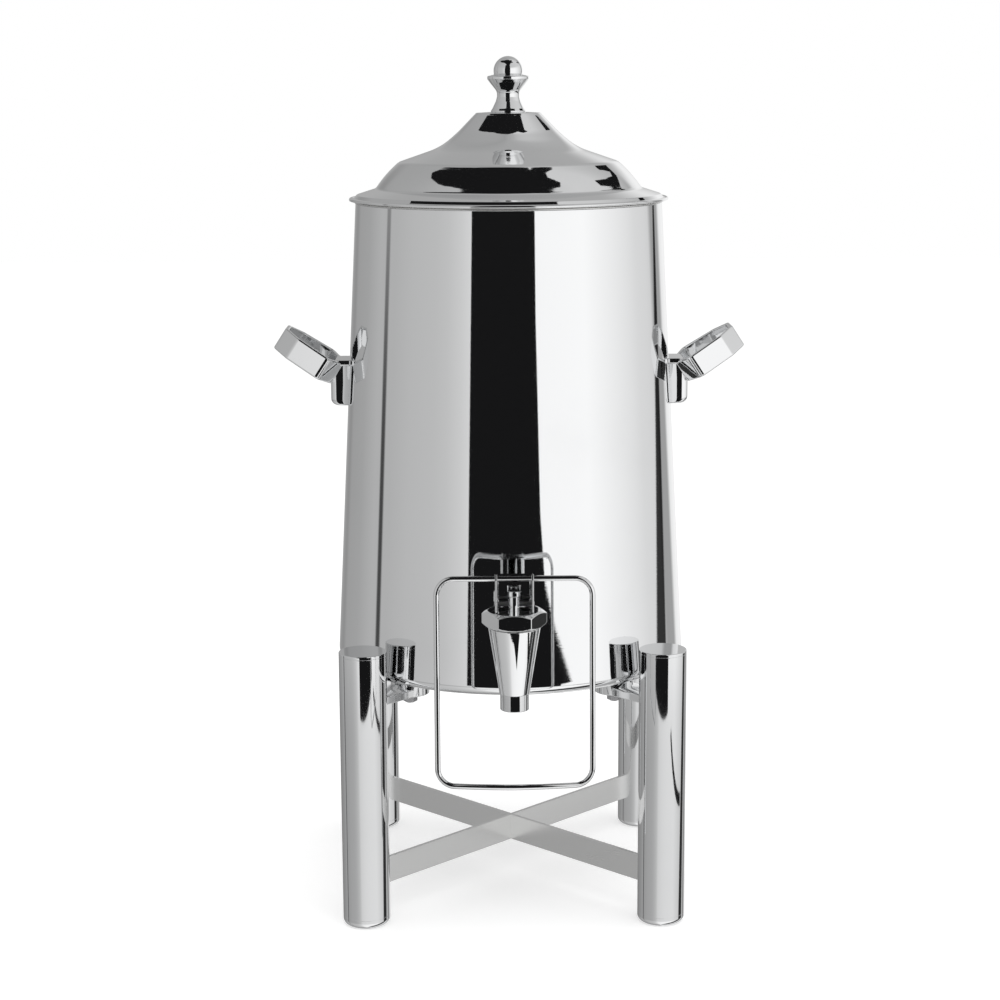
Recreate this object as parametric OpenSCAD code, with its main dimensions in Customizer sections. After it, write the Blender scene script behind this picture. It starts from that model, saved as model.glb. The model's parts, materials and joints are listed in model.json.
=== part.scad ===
// Insulated coffee urn on a four-leg stand, with a lift-off lid, two loop
// handles and a push-back faucet. Millimetres, +Z up, floor at Z = 0. The
// origin is the middle of the floor area that the whole urn covers.

/* [Body] */
// Outside diameter of the shell at its top edge
shell_top_d = 230.4; // [222:0.2:240]
// Outside diameter of the shell at its widest, just above the base
shell_bottom_d = 266.8; // [258:0.2:276]
// Height of the shell, underside to top edge
shell_h = 348.5; // [330:0.5:380]
// Sheet thickness of the shell
shell_wall = 1.2; // [0.8:0.1:2]
// Radius of the rolled edge at the foot of the shell
roll_r = 7; // [5:0.5:9]
// Width of the flange turned in under the body
flange_w = 36; // [33:1:44]
// Height of the underside above the floor
base_z = 180; // [172:1:188]
// Thickness of the base plate
base_plate_t = 2; // [1.5:0.1:3]

/* [Tank] */
// Sheet thickness of the inner tank
tank_wall = 1; // [0.8:0.1:1.6]
// Air gap between tank and shell at the mouth
tank_gap = 6; // [5:0.5:9]
// Height of the inlet hole's seal above the rounded corner of the tank floor
tank_floor_gap = 1; // [0.5:0.5:4]
// Outside radius of the tank's bottom corner
tank_corner_r = 12; // [8:1:18]
// Thickness of the tank's mouth flange
mouth_flange_t = 1; // [0.8:0.1:1.6]
// Thickness of the insulating sleeve
sleeve_t = 5; // [3:0.5:6]

/* [Lid] */
// How far the lid's rim stands out past the shell
rim_overhang = 4.8; // [3:0.2:7]
// Sheet thickness of the lid cover
lid_wall = 1; // [0.8:0.1:1.4]
// Radius of the hem round the rim
hem_r = 1.1; // [0.8:0.1:1.4]
// Rise of the flared skirt of the lid
flare_rise = 9; // [7:0.5:12]
// Diameter at the foot of the lid's shoulder
shoulder_d = 200; // [192:1:206]
// Rise of the shoulder
shoulder_rise = 19.5; // [15:0.5:24]
// Diameter at the top of the shoulder
shoulder_top_d = 165; // [156:1:170]
// Rise from the shoulder to the bend of the hollow sweep
sweep_low_rise = 11; // [8:0.5:14]
// Diameter at the bend of the hollow sweep
sweep_d = 101; // [94:1:108]
// Rise from that bend to the crown
sweep_rise = 23.5; // [18:0.5:30]
// Diameter of the crown plate on top of the lid
crown_d = 51; // [46:1:58]
// Depth of the plug that hangs into the tank's mouth
plug_depth = 13; // [8:1:20]
// Gap between the plug and the tank's mouth
plug_clearance = 1; // [0.6:0.1:2]
// Thickness of the lid gasket
gasket_t = 0.8; // [0.6:0.1:1.5]

/* [Knob] */
// Diameter of the knob's foot
knob_foot_d = 27; // [24:0.5:32]
// Height of the foot's straight edge
knob_foot_h = 1; // [0.8:0.1:1.5]
// Height at which the knob's neck starts
knob_neck_h = 10; // [9:0.5:11]
// Length of the knob's straight neck
knob_neck_len = 4; // [3:0.5:5]
// Height of the knob's collar above its foot
knob_collar_h = 24; // [22:0.5:25]
// Diameter of the knob's neck
knob_neck_d = 15.5; // [14:0.5:18]
// Diameter of the knob's collar
knob_collar_d = 31; // [29:0.5:34]
// Thickness of the collar's edge
knob_collar_t = 2.5; // [2:0.5:3.5]
// Diameter of the knob's head
knob_head_d = 21.5; // [19:0.5:23]
// Overall height of the knob
knob_h = 41; // [40:0.5:46]
// Thread diameter of the knob screw
knob_screw_d = 5; // [4:0.5:6]

/* [Handles] */
// Height of the handle tab's underside above the underside of the body
handle_h = 227; // [200:1:250]
// Width of the handle post, along the shell
post_w = 22; // [18:1:26]
// How far the post stands out from the shell
post_reach = 14.4; // [12:0.2:18]
// Height of the post
post_h = 31; // [28:1:38]
// Radius of the post's corners
post_corner_r = 5; // [3:0.5:7]
// Width of the tab that carries the loop
tab_w = 30; // [26:1:36]
// Thickness of the tab
tab_t = 4; // [3:0.5:5]
// Upward slope of the loop in degrees
loop_slope = 33; // [25:1:40]
// Length of the loop along its slope, from the shell
loop_reach = 62; // [56:1:76]
// Largest half width of the loop
loop_half_w = 30; // [28:1:34]
// Distance of the loop's widest place from the shell, along its slope
loop_belly = 20; // [18:1:24]
// Half width of the loop where its sides turn in to the outer end
loop_shoulder_half_w = 25; // [23:1:27]
// Length of the loop's outer end
loop_end_w = 24; // [20:1:28]
// Radius of the band's bends
loop_bend_r = 4.5; // [4:0.5:6]
// Width of the band that the loop is made of
band_w = 18; // [14:1:22]
// Thickness of the band
band_t = 3.2; // [2.5:0.1:4]
// Diameter of the handle screws
handle_screw_d = 4; // [3:0.5:5]

/* [Stand] */
// Outside diameter of a leg tube
leg_d = 35; // [30:1:40]
// Wall of a leg tube
leg_wall = 1.5; // [1:0.1:2.5]
// Height of the leg tops above the underside of the body
leg_rise = 29; // [16:1:45]
// Gap between a leg and the widest part of the shell
leg_gap = 4.7; // [3:0.1:10]
// Height of a foot cap
foot_h = 7; // [6:0.5:12]
// Radius of the rounded edge of a foot cap
foot_edge_r = 4.5; // [2:0.5:5.5]
// Thickness of a top cap
cap_t = 2.5; // [1.5:0.5:5]
// Depth that the caps reach into a tube
cap_plug = 8; // [5:1:12]
// Height of a brace bar
brace_h = 20; // [14:1:28]
// Thickness of a brace bar
brace_t = 3; // [2:0.5:5]
// Height of the brace above the floor
brace_z = 25.5; // [18:0.5:60]
// Width of a bracket arm
arm_w = 24; // [18:1:27]
// Thickness of a bracket arm
arm_t = 6; // [4:0.5:8]
// Diameter of the round pad of a bracket
pad_d = 29; // [26:1:32]
// Height of the pad above the arm
pad_h = 6; // [4:0.5:9]
// Distance from the pad to the rolled edge of the shell
pad_inset = 3.7; // [2:0.1:8]
// Diameter of the stand bolts
bolt_d = 6; // [5:0.5:8]

/* [Faucet] */
// Distance from the shell to the valve's axis
faucet_reach = 41.1; // [38:0.1:50]
// Height of the inlet's axis above the underside of the body
inlet_h = 54.5; // [54:0.5:55]
// Height of the faucet's top above the underside of the body
faucet_top_h = 74.5; // [74.5:0.5:77]
// Width of the cap nut across its corners
bonnet_d = 46; // [45:0.5:50]
// Height of the cap nut
bonnet_h = 11.5; // [10.5:0.5:12.5]
// Thickness of the cap nut's top
bonnet_t = 5; // [4:0.5:6]
// Diameter of the cap nut's flat top
bonnet_flat_d = 38; // [35:0.5:38.5]
// Diameter of the neck that the cap nut screws onto
neck_d = 36; // [34:0.5:36.5]
// Diameter of the spout's cone at its top
cone_top_d = 37; // [36.5:0.5:38.5]
// Diameter of the spout's cone at its foot
cone_foot_d = 21.5; // [21:0.5:24]
// Height of the cone
cone_h = 48; // [42:0.5:52]
// Diameter of the spout's tip
tip_d = 20.5; // [18.5:0.5:21]
// Height of the straight tip
tip_h = 12; // [8:0.5:14]
// Diameter of the spout's bore
spout_bore_d = 15; // [12:0.5:16]
// Diameter of the hole in the valve seat
seat_hole_d = 11; // [9:0.5:12]
// Diameter of the inlet shank
shank_d = 16; // [14:0.5:18]
// Bore of the inlet shank
shank_bore_d = 10; // [9:0.5:11]
// Diameter of the shoulder that seats on the shell
shank_collar_d = 24; // [22:1:27]
// Diameter of the valve stem
stem_d = 8; // [7:0.5:9]
// Diameter of the stem's head
stem_head_d = 10; // [9:0.5:12]
// Height of the stem's head
stem_head_h = 4; // [3:0.5:5]
// Height of the stem above the bonnet
stem_top_h = 14; // [13:0.5:16]
// Radial clearance of the stem and of the pivot pin
running_clearance = 0.06; // [0.03:0.01:0.1]

/* [Lever] */
// Width of the yoke
yoke_w = 27; // [25:0.5:29]
// Depth of the yoke
yoke_depth = 20; // [18:0.5:22]
// Height of the yoke
yoke_h = 23.5; // [22:0.5:28]
// Sheet thickness of the yoke
yoke_wall = 1.5; // [1.2:0.1:2]
// Gap between the yoke and the bonnet
yoke_gap = 0.4; // [0.3:0.1:0.8]
// Height of the pivot pin above the bonnet
pin_h = 4.4; // [3.6:0.1:5]
// Diameter of the pivot pin
pin_d = 3; // [2.5:0.1:3.4]
// Diameter of the lever's wire
wire_d = 4; // [3:0.5:5]
// Width of the wire loop, centre to centre
wire_loop_w = 109; // [100:1:120]
// Height of the wire loop, centre to centre
wire_loop_h = 147; // [135:1:160]
// Bend radius of the wire at its corners
wire_corner_r = 12; // [8:1:16]
// Angle at which the bottom wire sets off forward from the sides
wire_bow_a = 8; // [4:0.5:12]
// Forward lean of the wire loop in degrees
wire_lean = 4; // [0:0.5:6]

/* [Hidden] */
$fn = 96;
overlap = 1;
arc_steps = 10;
seat_gap = 0.02;
head_ratio = 1.8;

shell_top_r = shell_top_d / 2;
shell_bottom_r = shell_bottom_d / 2;
shell_top_z = base_z + shell_h;
roll_z = base_z + roll_r;
roll_x = shell_bottom_r - roll_r;
taper = (shell_bottom_r - shell_top_r) / (shell_top_z - roll_z);
function wall_r(z) = shell_bottom_r - taper * (z - roll_z);
flange_in_r = roll_x - flange_w;
base_plate_clearance = 0.4;
base_plate_z = base_z + shell_wall;

tank_r = shell_top_r - shell_wall - tank_gap;
tank_seal_r = 12;
inlet_z = base_z + inlet_h;
tank_floor_z = inlet_z - tank_seal_r - tank_floor_gap - tank_corner_r;
mouth_z = shell_top_z + mouth_flange_t;
mouth_overhang = 0.6;
mouth_flange_r = shell_top_r + mouth_overhang;
sleeve_clearance = 0.3;
sleeve_low_gap = 5;
sleeve_high_gap = 20;
sleeve_low_z = tank_floor_z + sleeve_low_gap;
sleeve_high_z = shell_top_z - sleeve_high_gap;
disc_clearance = 1;
disc_r = tank_r;

fit_gap = 0.1;
liner_t = 0.8;
gasket_z = mouth_z + fit_gap;
gasket_w = 5;
gasket_inset = 1;
liner_z = gasket_z + gasket_t;
plug_r = tank_r - tank_wall - plug_clearance;
liner_r = mouth_flange_r;
rim_r = shell_top_r + rim_overhang;
rim_drop = 0.2;
rim_z = liner_z - rim_drop;
flare_bend_r = 20;
shoulder_bend_r = 13;
sweep_bend_r = 49;
crown_edge_r = 1.5;
crown_rise = 0.6;
shoulder_z = rim_z + flare_rise;
shoulder_top_z = shoulder_z + shoulder_rise;
sweep_z = shoulder_top_z + sweep_low_rise;
crown_z = sweep_z + sweep_rise + crown_edge_r;
knob_z = crown_z + crown_rise;
knob_flare_r = 3;
knob_cup_r = 6;
knob_lip = 0.5;
knob_lip_r = 1;
knob_waist_in = 1;
knob_waist_h = 0.8;
knob_screw_len = 12;
knob_screw_tip = 1;
knob_screw_head_h = 3;
screw_clearance = 0.15;
knob_washer_d = 14;
knob_washer_t = 1.2;

handle_z = base_z + handle_h;
handle_x = wall_r(handle_z);
loop_root = 11;
loop_root_half_w = 12;
loop_root_r = 3.5;
loop_shoulder = 12;
loop_drop = 12.7;
tab_reach = 11;
tab_corner_r = 4;
screw_head_d = head_ratio * handle_screw_d;
screw_head_h = 2.4;
screw_head_gap = 0.1;
screw_inset = 8;
screw_depth = 8;
screw_tip = 0.5;
screw_heights = [handle_z - screw_inset, handle_z - post_h + screw_inset];

leg_r = leg_d / 2;
leg_h = base_z + leg_rise;
leg_radial = shell_bottom_r + leg_gap + leg_r;
leg_xy = leg_radial / sqrt(2);
pad_radial = roll_x - pad_inset - pad_d / 2;
pad_xy = pad_radial / sqrt(2);
arm_z = base_z - pad_h - arm_t;
bolt_play = 0.6;
bolt_hole_d = bolt_d + bolt_play;
bolt_head_h = 4;
bolt_head_d = head_ratio * bolt_d;
cap_edge = 0.6;
bolt_tail = 1;
washer_t = 1;
washer_d = 2.2 * bolt_d;
nut_h = 5.2;
corners = [[-1, -1], [1, -1], [-1, 1], [1, 1]];

inlet_gap = 0.5;
valve_y = -(wall_r(inlet_z) + faucet_reach);
bonnet_z = base_z + faucet_top_h;
cone_top_z = bonnet_z - bonnet_h - inlet_gap;
cone_foot_z = cone_top_z - cone_h;
tip_z = cone_foot_z - tip_h;
seat_z = inlet_z - shank_bore_d / 2 - inlet_gap;
body_top_z = bonnet_z - bonnet_t;
inlet_r = 7.5;
cavity_r = 12.5;
seat_t = 3;
bonnet_plug_r = cavity_r + 2.5;
bonnet_plug_h = 3;
bonnet_slope = 30;
shank_hole_gap = 0.4;
shank_collar_t = 3;
seal_t = 2;
seal_seat_r = shank_collar_d / 2;
nut_af = 1.45 * shank_d;
shank_nut_h = 6;
shank_tail = 3;
seal_seat_depth = 3;
cup_h = 6;
cup_r = 9;
cup_gap = 0.1;
cup_dish = 1.2;
cup_lip = 2.5;
cup_top_edge = 1.5;
cup_side_in = 1;
spigot_d = 5;
spigot_floor = 2;
cup_top_z = seat_z + cup_gap + cup_h;
spring_wire_d = 1;
spring_turns = 4;
spring_end_gap = 0.05;
spring_r = stem_d / 2 + 0.5 + spring_wire_d / 2;
spring_sides = 8;
spring_rings_per_turn = 20;

pin_z = bonnet_z + pin_h;
yoke_z = bonnet_z + yoke_gap;
yoke_in_w = yoke_w - 2 * yoke_wall;
wire_drop = 0.5;
wire_ahead = 4;
wire_z = yoke_z + yoke_h - wire_drop;
wire_y = valve_y - wire_ahead;
yoke_front_y = valve_y - yoke_depth / 2;
ear_t = 1;
pin_overhang = 0.6;

wire_bow = wire_loop_w / 2 * tan(wire_bow_a);

front_reach = -wire_y + wire_loop_h * sin(wire_lean) + wire_bow * cos(wire_lean)
    + wire_d / 2 / cos(wire_bow_a);
rear_reach = max(shell_bottom_r, leg_xy + leg_r);
axis_y = (front_reach - rear_reach) / 2;

// Points of the arc of radius q[2] that rounds the corner q between p and n.
function fillet(p, q, n) =
    let (h = [q[0], q[1]], u = [p[0], p[1]] - h, v = [n[0], n[1]] - h,
         mid = u / norm(u) + v / norm(v), half = acos(u * v / norm(u) / norm(v)) / 2,
         c = h + mid / norm(mid) * q[2] / sin(half),
         first = h + u / norm(u) * q[2] / tan(half) - c,
         last = h + v / norm(v) * q[2] / tan(half) - c,
         from = atan2(first[1], first[0]),
         turn = atan2(first[0] * last[1] - first[1] * last[0], first * last))
    arc(c, q[2], from, from + turn);

// A ring of corners [x, y, radius]: a corner with a radius becomes an arc.
function rounded(ring) =
    let (n = len(ring))
    [for (i = [0:n - 1])
        each ring[i][2] > 0 ? fillet(ring[(i + n - 1) % n], ring[i], ring[(i + 1) % n])
            : [[ring[i][0], ring[i][1]]]];

// The same ring of outward corners moved inwards by d.
function shrunk(ring, d) =
    let (n = len(ring), at = [for (q = ring) [q[0], q[1]]])
    [for (i = [0:n - 1])
        let (u = at[(i + n - 1) % n] - at[i], v = at[(i + 1) % n] - at[i],
             mid = u / norm(u) + v / norm(v), half = acos(u * v / norm(u) / norm(v)) / 2,
             to = at[i] + mid / norm(mid) * d / sin(half))
        [to[0], to[1], ring[i][2] - d]];

// Points of an arc about c from angle a to angle b.
function arc(c, r, a, b) =
    [for (i = [0:arc_steps]) let (t = a + (b - a) * i / arc_steps) c + r * [cos(t), sin(t)]];

// Moves a piece from the urn's own axis to its place about the origin.
module placed() { translate([0, axis_y, 0]) children(); }

module at_valve() { translate([0, valve_y, 0]) children(); }

// The solid outline of the shell with its seating gap, cut out of what is fitted to it.
module shell_form() {
    translate([0, 0, roll_z])
        cylinder(h = shell_top_z - roll_z, r1 = shell_bottom_r + seat_gap,
            r2 = shell_top_r + seat_gap, $fn = 720);
}

module along_x(x0, x1, r) { translate([x0, 0, 0]) rotate([0, 90, 0]) cylinder(h = x1 - x0, r = r); }

module along_y(y0, y1, r) { translate([0, y1, 0]) rotate([90, 0, 0]) cylinder(h = y1 - y0, r = r); }

module at_pads() { for (c = corners) translate([c[0] * pad_xy, c[1] * pad_xy, 0]) children(); }

module at_legs() { for (c = corners) translate([c[0] * leg_xy, c[1] * leg_xy, 0]) children(); }

module at_handle_screws() {
    for (side = [0, 1], z = screw_heights) mirror([side, 0, 0]) translate([0, 0, z]) children();
}

module pad_holes(d, z, h) { at_pads() translate([0, 0, z]) cylinder(h = h, d = d); }

// ---- Body ----

module outer_shell() {
    lean = atan(taper);
    inner_r = roll_r - shell_wall;
    centre = [roll_x, roll_z];
    outline = concat(
        [[flange_in_r, base_z]],
        arc(centre, roll_r, -90, lean),
        [[shell_top_r, shell_top_z], [shell_top_r - shell_wall, shell_top_z]],
        arc(centre, inner_r, lean, -90),
        [[flange_in_r, base_z + shell_wall]]);
    placed() color("gainsboro") difference() {
        rotate_extrude() polygon(outline);
        pad_holes(bolt_hole_d, base_z - overlap, shell_wall + 2 * overlap);
        translate([0, 0, inlet_z]) along_y(-shell_bottom_r, 0, shank_d / 2 + shank_hole_gap);
        at_handle_screws() along_x(0, shell_bottom_r, handle_screw_d / 2 + screw_clearance);
    }
}

module base_plate() {
    placed() color("lightgray") difference() {
        translate([0, 0, base_plate_z])
            cylinder(h = base_plate_t, r = roll_x - base_plate_clearance);
        pad_holes(bolt_hole_d, base_plate_z - overlap, base_plate_t + 2 * overlap);
    }
}

module inner_tank() {
    centre = [tank_r - tank_corner_r, tank_floor_z + tank_corner_r];
    outline = concat(
        [[0, tank_floor_z]],
        arc(centre, tank_corner_r, -90, 0),
        [[tank_r, shell_top_z], [mouth_flange_r, shell_top_z], [mouth_flange_r, mouth_z],
         [tank_r - tank_wall, mouth_z]],
        arc(centre, tank_corner_r - tank_wall, 0, -90),
        [[0, tank_floor_z + tank_wall]]);
    placed() color("silver") difference() {
        rotate_extrude() polygon(outline);
        translate([0, 0, inlet_z]) along_y(-shell_bottom_r, 0, shank_d / 2 + shank_hole_gap);
    }
}

module insulation_sleeve() {
    placed() color("wheat") difference() {
        translate([0, 0, sleeve_low_z])
            cylinder(h = sleeve_high_z - sleeve_low_z, r = tank_r + sleeve_clearance + sleeve_t);
        translate([0, 0, sleeve_low_z - overlap])
            cylinder(h = shell_h, r = tank_r + sleeve_clearance);
        translate([0, 0, inlet_z]) along_y(-shell_bottom_r, 0, seal_seat_r + overlap);
    }
}

module insulation_disc() {
    low = base_plate_z + base_plate_t + bolt_head_h + disc_clearance;
    placed() color("wheat")
        translate([0, 0, low])
            cylinder(h = tank_floor_z - disc_clearance - low, r = disc_r);
}

// ---- Lid ----

// The lid's outer section, filled down to the rim: skirt, shoulder, sweep, crown.
module lid_section(d) {
    crown = [crown_d / 2, crown_z - crown_edge_r];
    outline = concat(
        [[0, rim_z], [rim_r - hem_r, rim_z]],
        rounded([
            [rim_r - hem_r, rim_z + 2 * hem_r, 0],
            [shoulder_d / 2, shoulder_z, flare_bend_r],
            [shoulder_top_d / 2, shoulder_top_z, shoulder_bend_r],
            [sweep_d / 2, sweep_z, sweep_bend_r],
            [crown[0], crown[1], 0]]),
        arc([crown[0] - crown_edge_r, crown[1]], crown_edge_r, 0, 90),
        [[knob_foot_d / 2, knob_z], [0, knob_z]]);
    intersection() {
        translate([-d, -d]) polygon(outline);
        translate([0, rim_z]) square([2 * rim_r, 2 * (knob_z - rim_z)]);
    }
}

module lid_cover() {
    placed() color("gainsboro") difference() {
        rotate_extrude() {
            difference() { lid_section(0); lid_section(lid_wall); }
            translate([rim_r - hem_r, rim_z + hem_r]) circle(r = hem_r, $fn = 32);
        }
        translate([0, 0, knob_z - 2 * lid_wall])
            cylinder(h = 4 * lid_wall, d = knob_screw_d + 2 * screw_clearance);
    }
}

module lid_liner() {
    low = mouth_z - plug_depth;
    placed() color("silver") rotate_extrude() polygon([
        [0, low], [plug_r, low], [plug_r, liner_z], [liner_r, liner_z],
        [liner_r, liner_z + liner_t], [plug_r - liner_t, liner_z + liner_t],
        [plug_r - liner_t, low + liner_t], [0, low + liner_t]]);
}

module lid_gasket() {
    placed() color("whitesmoke") translate([0, 0, gasket_z]) rotate_extrude()
        translate([liner_r - gasket_w - gasket_inset, 0]) square([gasket_w, gasket_t]);
}

module lid_knob() {
    foot_r = knob_foot_d / 2;
    neck_r = knob_neck_d / 2;
    neck_z = knob_z + knob_neck_h;
    collar_r = knob_collar_d / 2;
    collar_z = knob_z + knob_collar_h;
    collar_top = collar_z + knob_collar_t;
    head_r = knob_head_d / 2;
    outline = concat(
        [[0, knob_z]],
        rounded([
            [foot_r, knob_z, 0],
            [foot_r, knob_z + knob_foot_h, 0],
            [neck_r, neck_z, knob_flare_r],
            [neck_r, neck_z + knob_neck_len, knob_cup_r],
            [collar_r - knob_lip, collar_z, 0],
            [collar_r, collar_z + knob_lip, 0],
            [collar_r, collar_top, knob_lip_r],
            [head_r - knob_waist_in, collar_top + knob_waist_h, 0]]),
        arc([0, knob_z + knob_h - head_r], head_r, -10, 90));
    placed() color("gainsboro") difference() {
        rotate_extrude() polygon(outline);
        translate([0, 0, knob_z - overlap])
            cylinder(h = knob_screw_len + overlap, d = knob_screw_d);
    }
}

module knob_washer() {
    placed() color("silver") translate([0, 0, knob_z - lid_wall - knob_washer_t]) difference() {
        cylinder(h = knob_washer_t, d = knob_washer_d);
        translate([0, 0, -overlap])
            cylinder(h = 4 * knob_washer_t, d = knob_screw_d + 2 * screw_clearance);
    }
}

module knob_screw() {
    head_z = knob_z - lid_wall - knob_washer_t;
    placed() color("dimgray") {
        translate([0, 0, head_z])
            cylinder(h = knob_z + knob_screw_len - knob_screw_tip - head_z, d = knob_screw_d);
        translate([0, 0, head_z - knob_screw_head_h])
            cylinder(h = knob_screw_head_h, d = head_ratio * knob_screw_d);
    }
}

// ---- Handles ----

// Plan of the loop along its slope, with straight sides and round bends.
// inset shrinks it for the inside of the band.
module loop_plan(inset) {
    side = [
        [loop_root, loop_root_half_w, loop_root_r],
        [loop_belly, loop_half_w, loop_bend_r],
        [loop_reach - loop_shoulder, loop_shoulder_half_w, loop_bend_r],
        [loop_reach, loop_end_w / 2, loop_bend_r]];
    other = [for (i = [1:len(side)]) let (q = side[len(side) - i]) [q[0], -q[1], q[2]]];
    polygon(rounded(shrunk(concat(side, other), inset)));
}

// Puts a plan drawn along the loop's slope in its place on the right side.
module on_slope(h) {
    translate([handle_x, 0, handle_z - loop_drop]) rotate([0, -loop_slope, 0])
        linear_extrude(height = h, center = true) children();
}

module post_right() {
    low = handle_z - post_h;
    out = handle_x + post_reach;
    difference() {
        intersection() {
            translate([0, post_w / 2, 0]) rotate([90, 0, 0]) linear_extrude(height = post_w)
                difference() {
                    translate([0, low]) square([out, post_h]);
                    translate([out - post_corner_r, low]) difference() {
                        translate([0, -overlap]) square([post_corner_r + overlap, post_corner_r + overlap]);
                        translate([0, post_corner_r]) circle(r = post_corner_r);
                    }
                }
            translate([0, 0, low - overlap]) linear_extrude(height = post_h + 2 * overlap) union() {
                translate([0, -post_w / 2]) square([out - post_corner_r, post_w]);
                for (s = [-1, 1]) translate([out - post_corner_r, s * (post_w / 2 - post_corner_r)])
                    circle(r = post_corner_r);
                translate([0, -post_w / 2 + post_corner_r]) square([out, post_w - 2 * post_corner_r]);
            }
        }
        shell_form();
        on_slope(band_w) loop_plan(0);
        for (z = screw_heights)
            translate([0, 0, z]) along_x(0, handle_x + screw_depth, handle_screw_d / 2);
    }
}

module loop_right() {
    difference() {
        union() {
            on_slope(band_w) difference() { loop_plan(0); loop_plan(band_t); }
            translate([0, 0, handle_z]) linear_extrude(height = tab_t) union() {
                translate([0, -tab_w / 2]) square([handle_x + tab_reach - tab_corner_r, tab_w]);
                for (s = [-1, 1])
                    translate([handle_x + tab_reach - tab_corner_r, s * (tab_w / 2 - tab_corner_r)])
                        circle(r = tab_corner_r);
                translate([0, tab_corner_r - tab_w / 2])
                    square([handle_x + tab_reach, tab_w - 2 * tab_corner_r]);
            }
        }
        shell_form();
    }
}

module handle_post_left() { placed() color("gainsboro") mirror([1, 0, 0]) post_right(); }

module handle_post_right() { placed() color("gainsboro") post_right(); }

module handle_loop_left() { placed() color("gainsboro") mirror([1, 0, 0]) loop_right(); }

module handle_loop_right() { placed() color("gainsboro") loop_right(); }

module handle_screws() {
    placed() color("dimgray") for (side = [0, 1], z = screw_heights) {
        seat = wall_r(z + screw_head_d / 2) - shell_wall - screw_head_gap;
        mirror([side, 0, 0]) translate([0, 0, z]) {
            along_x(seat - screw_head_h, seat, screw_head_d / 2);
            along_x(seat - overlap, handle_x + screw_depth - screw_tip, handle_screw_d / 2 - fit_gap);
        }
    }
}

// ---- Stand ----

module leg_tube(c) {
    placed() color("gainsboro") translate([c[0] * leg_xy, c[1] * leg_xy, foot_h]) difference() {
        cylinder(h = leg_h - foot_h - cap_t, r = leg_r);
        translate([0, 0, -overlap]) cylinder(h = leg_h, r = leg_r - leg_wall);
    }
}

module leg_tube_front_left() { leg_tube(corners[0]); }

module leg_tube_front_right() { leg_tube(corners[1]); }

module leg_tube_rear_left() { leg_tube(corners[2]); }

module leg_tube_rear_right() { leg_tube(corners[3]); }

module leg_top_caps() {
    plug_r = leg_r - leg_wall - fit_gap;
    placed() color("gainsboro") at_legs() rotate_extrude() polygon([
        [0, leg_h - cap_t - cap_plug], [plug_r, leg_h - cap_t - cap_plug],
        [plug_r, leg_h - cap_t], [leg_r, leg_h - cap_t], [leg_r, leg_h - cap_edge],
        [leg_r - cap_edge, leg_h], [0, leg_h]]);
}

module leg_foot_caps() {
    plug_r = leg_r - leg_wall - fit_gap;
    placed() color("gainsboro") at_legs() rotate_extrude() polygon(concat(
        [[0, 0]],
        arc([leg_r - foot_edge_r, foot_edge_r], foot_edge_r, -90, 0),
        [[leg_r, foot_h], [plug_r, foot_h], [plug_r, foot_h + cap_plug], [0, foot_h + cap_plug]]));
}

// A flat arm from the leg with a round end and a raised pad under the body.
module bracket(c) {
    placed() color("gainsboro") difference() {
        translate([0, 0, arm_z]) {
            rotate([0, 0, atan2(c[1], c[0])]) translate([pad_radial, -arm_w / 2, 0])
                cube([leg_radial - pad_radial, arm_w, arm_t]);
            translate([c[0] * pad_xy, c[1] * pad_xy, 0]) cylinder(h = arm_t + pad_h, d = pad_d);
        }
        translate([c[0] * leg_xy, c[1] * leg_xy, 0]) cylinder(h = leg_h, r = leg_r);
        pad_holes(bolt_hole_d, arm_z - overlap, arm_t + pad_h + 2 * overlap);
    }
}

module bracket_front_left() { bracket(corners[0]); }

module bracket_front_right() { bracket(corners[1]); }

module bracket_rear_left() { bracket(corners[2]); }

module bracket_rear_right() { bracket(corners[3]); }

// One flat bar on edge from leg to leg, halved where it crosses the other.
module brace_bar(turn, notch_z) {
    half_lap = brace_h / 2;
    placed() color("silver") rotate([0, 0, turn]) difference() {
        translate([-leg_radial, -brace_t / 2, brace_z]) cube([2 * leg_radial, brace_t, brace_h]);
        for (s = [-1, 1]) translate([s * leg_radial, 0, 0]) cylinder(h = leg_h, r = leg_r);
        translate([-brace_t / 2, -brace_t, notch_z]) cube([brace_t, 2 * brace_t, half_lap + overlap]);
    }
}

module brace_bar_lower() { brace_bar(45, brace_z + brace_h / 2); }

module brace_bar_upper() { brace_bar(-45, brace_z - overlap); }

module stand_bolts() {
    head_z = base_plate_z + base_plate_t;
    tail_z = arm_z - washer_t - nut_h - bolt_tail;
    placed() color("dimgray") at_pads() {
        translate([0, 0, head_z]) cylinder(h = bolt_head_h, d = bolt_head_d, $fn = 6);
        translate([0, 0, tail_z]) cylinder(h = head_z - tail_z + overlap, d = bolt_d);
    }
}

module stand_washers() {
    placed() color("silver") at_pads() translate([0, 0, arm_z - washer_t]) difference() {
        cylinder(h = washer_t, d = washer_d);
        translate([0, 0, -overlap]) cylinder(h = washer_t + 2 * overlap, d = bolt_hole_d);
    }
}

module stand_nuts() {
    placed() color("silver") at_pads() translate([0, 0, arm_z - washer_t - nut_h]) difference() {
        cylinder(h = nut_h, d = bolt_head_d, $fn = 6);
        translate([0, 0, -overlap]) cylinder(h = nut_h + 2 * overlap, d = bolt_d + fit_gap);
    }
}

// ---- Faucet ----

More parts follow.
